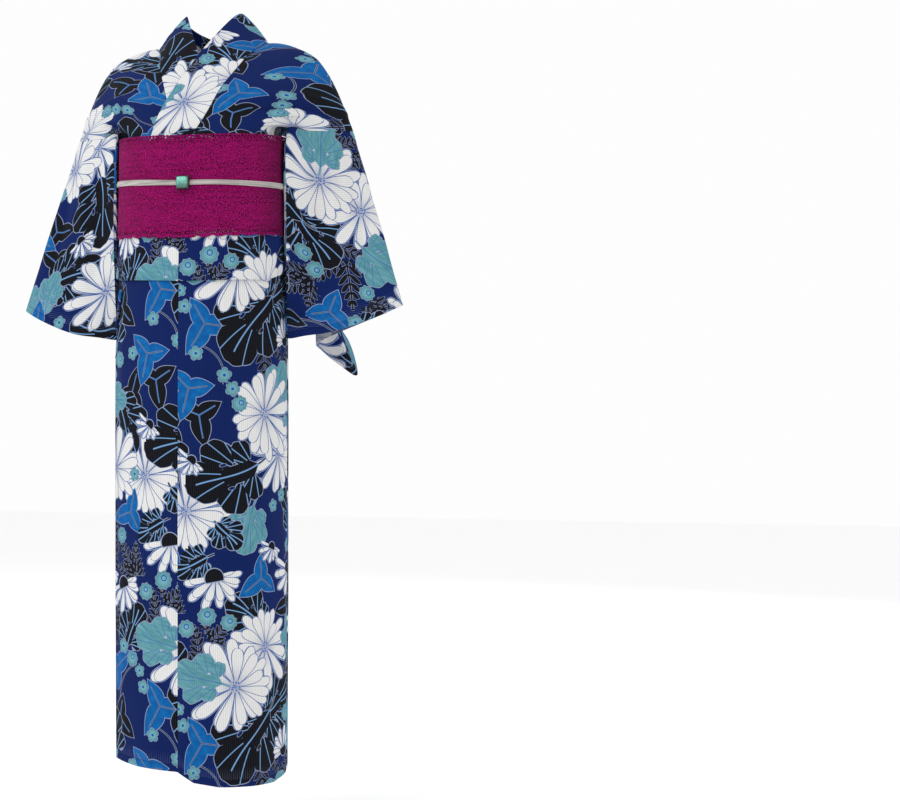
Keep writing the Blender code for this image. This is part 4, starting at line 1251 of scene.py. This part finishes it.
def makeBelt():
    angle = np.arange(belt["steps"])[:, None] * 360.0 / belt["steps"]
    down = bandRows(0.06, 5, 18)
    flatRing = ring(angle, level(beltTop, angle), belt["outside"])
    travel = lengthsAlong(flatRing, 0, closed=True)
    picots = round(travel[-1, 0] / belt["picot"])
    scallops = round(travel[-1, 0] / belt["scallop"])
    travel = travel / travel[-1, 0]
    x = travel[:-1]
    top = level(beltTop, angle) + scalloped(x, 1.0 / picots, 0.0022) - 0.001
    foot = level(beltFoot, angle) - scalloped(x + 0.5 / scallops, 1.0 / scallops, 0.0036) + 0.0014
    foot = foot - scalloped(x, 1.0 / (scallops * 5), 0.0013)
    height = top + (foot - top) * down
    lift = rumple(x * 0.87 * np.ones_like(height), height, 0.0006, 8.0)
    lift = lift + 0.0012 * np.exp(-((height + 0.305) / 0.012) ** 2) * np.sin(x * 2 * pi * 7) * 0.5
    grid = ring(angle, height, belt["outside"] + lift)
    # whole numbers of holes go round, so the pattern has no step
    across = travel * picots * belt["picot"] * np.ones_like(down)
    along = level(beltTop, angle) - height
    along = np.concatenate([along, along[:1]])
    # painted shade where the sleeve hangs against it, the same in any light
    rise = np.clip((angle - belt["shadeStart"]) / belt["shadeRise"], 0.0, 1.0)
    fall = np.clip((belt["shadeEnd"] - angle) / belt["shadeFall"], 0.0, 1.0)
    paintedShade = belt["shade"] * rise * fall + 0 * height
    piece = sheetMesh("belt_lace", grid, across, along, belt["wall"], (beltLace,), closed=True, flip=True,
                      marks={"top": top - height, "foot": height - foot, "paintedShade": paintedShade})
    placed(piece, ["belt_wrap"])
    print("belt made")


# bow: place along each band as x, y behind the bow's line, then the heights of its two edges

bow = {
    "wall": 0.0013,
    "line": trunkAxis + 0.056,
    "picot": 0.005,
    "wing_left": (
        (0.004, 0.0722, -0.192, -0.3), (0.04, 0.0722, -0.188, -0.296),
        (0.082, 0.07, -0.2, -0.292), (0.114, 0.074, -0.211, -0.296),
        (0.13, 0.088, -0.213, -0.3), (0.127, 0.103, -0.21, -0.303),
        (0.102, 0.119, -0.2, -0.309), (0.066, 0.139, -0.186, -0.315),
        (0.032, 0.153, -0.176, -0.319), (0.004, 0.158, -0.174, -0.312),
        (-0.022, 0.148, -0.176, -0.268), (-0.036, 0.133, -0.178, -0.232),
    ),
    "wing_right": (
        (-0.004, 0.0722, -0.192, -0.298), (-0.04, 0.0722, -0.187, -0.292),
        (-0.084, 0.07, -0.189, -0.274), (-0.122, 0.073, -0.192, -0.258),
        (-0.143, 0.086, -0.198, -0.262), (-0.141, 0.101, -0.194, -0.27),
        (-0.114, 0.118, -0.185, -0.283), (-0.074, 0.131, -0.182, -0.298),
        (-0.04, 0.127, -0.184, -0.312), (-0.014, 0.118, -0.186, -0.318),
        (0.01, 0.123, -0.187, -0.316),
    ),
    "flap_left": (
        (0.12, 0.093, -0.296, -0.322), (0.1165, 0.1035, -0.296, -0.326),
        (0.1006, 0.1166, -0.297, -0.336), (0.0647, 0.1363, -0.301, -0.35),
        (0.0311, 0.1501, -0.304, -0.364), (0.005, 0.1498, -0.305, -0.369),
        (-0.012, 0.14, -0.308, -0.349), (-0.02, 0.13, -0.31, -0.332),
    ),
    "flap_right": (
        (0.008, 0.108, -0.305, -0.361), (-0.014, 0.108, -0.304, -0.358),
        (-0.04, 0.1238, -0.3, -0.353), (-0.074, 0.1282, -0.286, -0.346),
        (-0.1126, 0.1156, -0.272, -0.339), (-0.13, 0.102, -0.264, -0.333),
        (-0.1345, 0.092, -0.262, -0.324),
    ),
    "flat": {
        "wing_left": (0.115, 0.36), "wing_right": (0.105, 0.35), "flap_left": (0.055, 0.17),
        "flap_right": (0.065, 0.18), "knot": (0.06, 0.105),
    },
    # painted shade: on the flaps' tops, beside the crossing and on the knot
    "flapShade": 0.88,
    "crossShade": 0.85,
    "knotShade": 0.3,
    "steps": 26,
    # across and height of the left wing's edge over the right one, from its foot up
    "crossing": ((0.032, -0.319), (0.004, -0.312), (-0.022, -0.268), (-0.036, -0.232), (-0.036, -0.178)),
    "swell": {"wing_left": 0.0075, "wing_right": 0.0065, "flap_left": 0.0, "flap_right": 0.0},
    "sunk": {"wing_left": 0.0, "wing_right": 0.0, "flap_left": 0.0055, "flap_right": 0.0035},
    "creases": {
        # along the band and down from its top edge
        "wing_left": (
            (0.2, 0.02, 0.33, 0.06, 0.01, 0.0016), (0.18, 0.09, 0.33, 0.11, 0.012, -0.0018),
            (0.24, 0.00, 0.36, 0.02, 0.01, -0.0012),
        ),
        "wing_right": (
            (0.2, 0.02, 0.36, 0.05, 0.012, 0.0018), (0.2, 0.06, 0.34, 0.09, 0.01, -0.0016),
        ),
        "flap_left": ((0.03, 0.0, 0.12, 0.04, 0.008, -0.001),),
        "flap_right": ((0.04, 0.02, 0.15, 0.04, 0.009, 0.001),),
    },
}


def makeBand(name):
    rows = np.array(bow[name])
    dense = smooth(rows, bow["steps"])
    place = np.stack([dense[:, 0], dense[:, 1] + bow["line"], 0 * dense[:, 0]], -1)[:, None]
    travel = lengthsAlong(place, 0)
    edge = scalloped(travel[:, 0], bow["picot"], 0.0018)
    top, foot = dense[:, 2:3] + edge[:, None], dense[:, 3:4] - edge[:, None]
    down = bandRows(0.05, 3, 17)
    height = top + (foot - top) * down
    grid = np.stack([place[..., 0] + 0 * height, place[..., 1] + 0 * height, height], -1)
    across, along = travel + 0 * height, top - height
    lift = folded(across, along, bow["creases"].get(name, ()))
    lift = lift + rumple(across, along, 0.0009, len(name) * 1.3 + rows[0, 0])
    ends = np.clip(np.minimum(across, across[-1:] - across) / 0.02, 0.0, 1.0)
    behind = place[..., 1] - bow["line"]
    swell = bow["swell"][name] * np.sin(pi * down ** 1.6) * np.clip((behind - 0.1) / 0.02, 0.0, 1.0)
    grid = grid + normalsOf(grid, False) * (lift * ends)[..., None]
    grid[..., 1] += swell - bow["sunk"][name]
    paintedShade = 0 * height
    # painted shade on a flap's top, under the wing that hangs over it
    if name.startswith("flap"):
        paintedShade = bow["flapShade"] * np.clip(1.0 - (top - height) / 0.034, 0.0, 1.0) ** 0.7
    if name == "wing_right":
        # painted shade beside the left wing's edge, which crosses over it
        edges = np.array(bow["crossing"])
        beside = np.interp(height, edges[:, 1], edges[:, 0]) - grid[..., 0]
        near = np.clip((behind - 0.105) / 0.01, 0.0, 1.0)
        paintedShade = bow["crossShade"] * near * np.clip(1.0 - beside / 0.016, 0.0, 1.0)
    piece = sheetMesh("bow_" + name + "_lace", grid, across, along, bow["wall"], (bowLace,),
                      marks={"top": top - height, "foot": height - foot, "paintedShade": paintedShade})
    placed(piece, ["bow_" + name])


def makeBow():
    for name in ("wing_left", "wing_right", "flap_left", "flap_right"):
        makeBand(name)
    # the small roll between the wings
    turn = np.arange(48)[:, None] * 2 * pi / 48
    heights = smooth(np.array([(-0.196, 0.8), (-0.225, 1.0), (-0.262, 1.0), (-0.3, 0.85)]), 8)[None]
    wide = heights[..., 1] * (1 + 0.06 * np.sin(3 * turn + heights[..., 0] * 60))
    x = 0.01 * np.cos(turn) * wide - 0.002
    y = bow["line"] + 0.0832 + 0.0085 * np.sin(turn) * wide
    grid = np.stack([x, y, heights[..., 0] + 0 * x], -1)
    across = lengthsAlong(grid, 0, closed=True)
    along = np.concatenate([grid, grid[:1]])[..., 2]
    far = np.full(grid.shape[:2], 1.0)
    # painted shade over the whole knot, which sits between the wings
    piece = sheetMesh("bow_knot_lace", grid, across, -along, bow["wall"], (bowLace,), closed=True,
                      marks={"top": far, "foot": far, "paintedShade": far * bow["knotShade"]})
    placed(piece, ["bow_knot"])
    print("bow made")


# flat silver cord round the belt

cord = {"wide": 0.0086, "thick": 0.0017, "outside": 0.0157, "edge": 0.0006, "steps": 260}


def satin(name):
    look = Look(name, Roughness=0.42, Metallic=0.15, Sheen_Weight=0.2, Specular_IOR_Level=0.5)
    across, along = look.cloth()
    thread = look.noise(look.joined(across * 0.06, along, 0.0), 2600.0, 2.0)
    soft = look.noise(look.joined(across * 0.25, along * 2.0, 0.0), 60.0, 2.0)
    # streaks of painted sheen and painted shade along the cord
    colour = look.mix(rgb(196, 190, 184), rgb(118, 113, 108), ((soft - 0.38) * 2.6).held())
    # painted shade: dark stripes running along the cord's length
    ridgeShade = (along * 1450.0).wave() * 0.5 + 0.5
    colour = look.shaded(colour, 0.62, ridgeShade * 0.8)
    colour = look.shaded(colour, 0.8, (thread - 0.35).held())
    return look.finish(Base_Color=colour, Height=thread * 0.0001)


def makeCord():
    angle = np.arange(cord["steps"])[:, None] * 360.0 / cord["steps"]
    share = np.linspace(-1.0, 1.0, 9)[None]
    wide = cord["wide"] * (0.5 - 0.05 * np.sin(np.radians(angle) * 3 + 0.6))
    height = level(cordLevel, angle) - share * wide + 0.0004 * np.sin(np.radians(angle) * 5)
    bulge = 0.001 * (1 - share ** 2) + 0.00035 * np.cos(share * 5.2 + 0.8 * np.sin(np.radians(angle) * 2))
    grid = ring(angle, height, cord["outside"] + bulge)
    across = lengthsAlong(grid, 0, closed=True)
    along = np.concatenate([-height, -height[:1]])
    piece = sheetMesh("cord_satin", grid, across, along, cord["thick"], (satin("silverSatin"),), closed=True,
                      flip=True, edge=cord["edge"])
    placed(piece, ["belt_cord"])
    print("cord made")


# square glass bead in its dark metal tray

bead = {"border": 0.0024, "setBack": 0.002, "dome": 0.0009, "bevel": 0.0012}


def glass(name):
    look = Look(name, Roughness=0.1, Coat_Weight=1.0, Coat_Roughness=0.03, Specular_IOR_Level=0.6)
    place = look.node("ShaderNodeTexCoord", {}, {}, "Object")
    x, y, z = look.apart(place)
    cloud = look.noise(place, 260.0, 3.0)
    low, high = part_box("bead_glass")
    # painted light: lighter towards the top and darker towards the bottom, with a cloud of random tone
    # through it
    rise = (z - low[2]) / (high[2] - low[2])
    colour = look.mix(rgb(6, 84, 78), rgb(104, 200, 178), (rise * 1.3 - 0.15 + (cloud - 0.5)).held())
    aside = (x - (low[0] + high[0]) / 2) / (high[2] - low[2]) * 2.0
    up = (z - (low[2] + high[2]) / 2) / (high[2] - low[2]) * 2.0
    edge = (aside * aside * aside * aside + up * up * up * up) ** 0.25
    # a painted highlight on the middle square of the front, brighter towards its top
    paintedHighlight = (0.6 - aside.most(-aside).most(up).most(-up)).mask(40.0)
    colour = look.mix(colour, rgb(150, 226, 206), paintedHighlight * (up * 1.2 + 0.25).held() * 0.55)
    # painted shade: a dark rim round the glass's edges
    colour = look.mix(colour, rgb(6, 26, 28), ((edge - 0.82) * 14.0).held() * 0.96)
    return look.finish(Base_Color=colour)


def darkMetal(name):
    look = Look(name, Metallic=1.0, Specular_IOR_Level=0.5)
    place = look.node("ShaderNodeTexCoord", {}, {}, "Object")
    wear = look.noise(place, 420.0, 3.0)
    colour = look.mix(rgb(52, 48, 44), rgb(98, 92, 84), ((wear - 0.5) * 3.0).held())
    return look.finish(Base_Color=colour, Roughness=0.28 + wear * 0.25, Height=wear * 0.00008)


def makeBead():
    low, high = (Vector(corner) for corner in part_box("bead_glass"))
    middle, size = (low + high) / 2, high - low
    bpy.ops.object.select_all(action="DESELECT")
    bpy.ops.mesh.primitive_cube_add(size=1.0, location=(0, 0, 0))
    piece = bpy.context.object
    piece.name = piece.data.name = "bead_teal"
    bpy.ops.object.mode_set(mode="EDIT")
    bpy.ops.mesh.select_all(action="SELECT")
    bpy.ops.transform.resize(value=tuple(size))
    bpy.ops.transform.translate(value=tuple(middle))
    bpy.ops.mesh.select_mode(type="FACE")
    bpy.ops.mesh.select_all(action="DESELECT")
    bpy.ops.object.mode_set(mode="OBJECT")
    for face in piece.data.polygons:
        face.select = face.normal.y < -0.9
    bpy.ops.object.mode_set(mode="EDIT")
    # a raised pillow with a bevelled border, as on a cut stone
    bpy.ops.mesh.inset(thickness=bead["border"])
    bpy.ops.mesh.inset(thickness=bead["border"])
    bpy.ops.transform.translate(value=(0.0, -bead["dome"], 0.0))
    bpy.ops.object.mode_set(mode="OBJECT")
    for vertex in piece.data.vertices:
        off = vertex.co - middle
        if off.y < 0.0 and max(abs(off.x), abs(off.z)) > size.z / 2 - 0.001:
            vertex.co.y += bead["setBack"]
    applied(piece, "BEVEL", width=bead["bevel"], segments=3, limit_method="ANGLE", angle_limit=radians(15))
    applied(piece, "SUBSURF", levels=2, render_levels=2)
    bpy.ops.object.shade_smooth_by_angle(angle=radians(35))
    piece.data.materials.append(glass("tealGlass"))
    placed(piece, ["bead_glass"])
    tray = bpy.data.objects["bead_tray"]
    metal = darkMetal("darkMetal")
    for holder in tray.material_slots:
        holder.material = metal
    print("bead made")


# the pieces

cottonFace = cotton("cottonFace")
cottonBoth = (cottonFace, cotton("cottonReverse", 0.45))
makeSkirt()
makeTuck()
makeCollar()
makeBodice("bodice_left", False)
makeBodice("bodice_right", True)
makeSleeve("sleeve_left", 1)
makeSleeve("sleeve_right", -1)
makeCollarEnd()
makeBelt()
makeBow()
makeCord()
makeBead()


# studio: a pale floor, soft light and the camera

studio = {
    "floor": -1.33,
    "distance": 3.0,
    "turn": 15.0,
    "eye": -0.601,
    "lens": 71.4,
    "shift": 0.275,
    "world": 0.985,
    "lights": (
        # name, place, energy, side, what it points at
        ("keyLight", (-2.6, -2.7, 1.9), 36.0, 1.2, (0.0, -0.05, -0.4)),
        ("fillLight", (2.4, -2.8, 0.2), 1.0, 2.0, (0.0, -0.05, -0.6)),
        ("backLight", (0.9, 3.3, 0.8), 30.0, 1.4, (0.0, -0.05, -0.6)),
    ),
}


def makeStudio():
    bpy.ops.object.select_all(action="DESELECT")
    bpy.ops.mesh.primitive_plane_add(size=16.0, location=(0, 0, 0))
    floor = bpy.context.object
    floor.name = "floor"
    bpy.ops.object.mode_set(mode="EDIT")
    bpy.ops.mesh.select_all(action="SELECT")
    bpy.ops.transform.translate(value=(0, 0, studio["floor"]))
    bpy.ops.object.mode_set(mode="OBJECT")
    look = Look("paleFloor", Roughness=0.9, Specular_IOR_Level=0.1)
    place = look.node("ShaderNodeTexCoord", {}, {}, "Object")
    colour = look.mix((0.955, 0.955, 0.955), (0.965, 0.965, 0.965), look.noise(place, 3.0))
    floor.data.materials.append(look.finish(Base_Color=colour))
    world = bpy.data.worlds.new("studio")
    world.use_nodes = True
    sky = world.node_tree.nodes["Background"].inputs
    sky["Color"].default_value = (1.0, 1.0, 1.0, 1.0)
    sky["Strength"].default_value = studio["world"]
    bpy.context.scene.world = world
    for name, place, energy, side, aim in studio["lights"]:
        light = bpy.data.lights.new(name, "AREA")
        light.energy, light.size, light.shape = energy, side, "DISK"
        lamp = bpy.data.objects.new(name, light)
        lamp.location = place
        lamp.rotation_euler = (Vector(aim) - Vector(place)).to_track_quat("-Z", "Y").to_euler()
        bpy.context.scene.collection.objects.link(lamp)
    camera = bpy.data.cameras.new("camera")
    camera.lens, camera.sensor_width = studio["lens"], 36.0
    camera.shift_x = studio["shift"]
    stand = bpy.data.objects.new("camera", camera)
    turn = radians(studio["turn"])
    away = studio["distance"]
    stand.location = (away * sin(turn), trunkAxis - away * cos(turn), studio["eye"])
    stand.rotation_euler = (pi / 2, 0.0, turn)
    bpy.context.scene.collection.objects.link(stand)
    bpy.context.scene.camera = stand
    bpy.context.scene.view_settings.view_transform = "Standard"


makeStudio()
print("studio made")
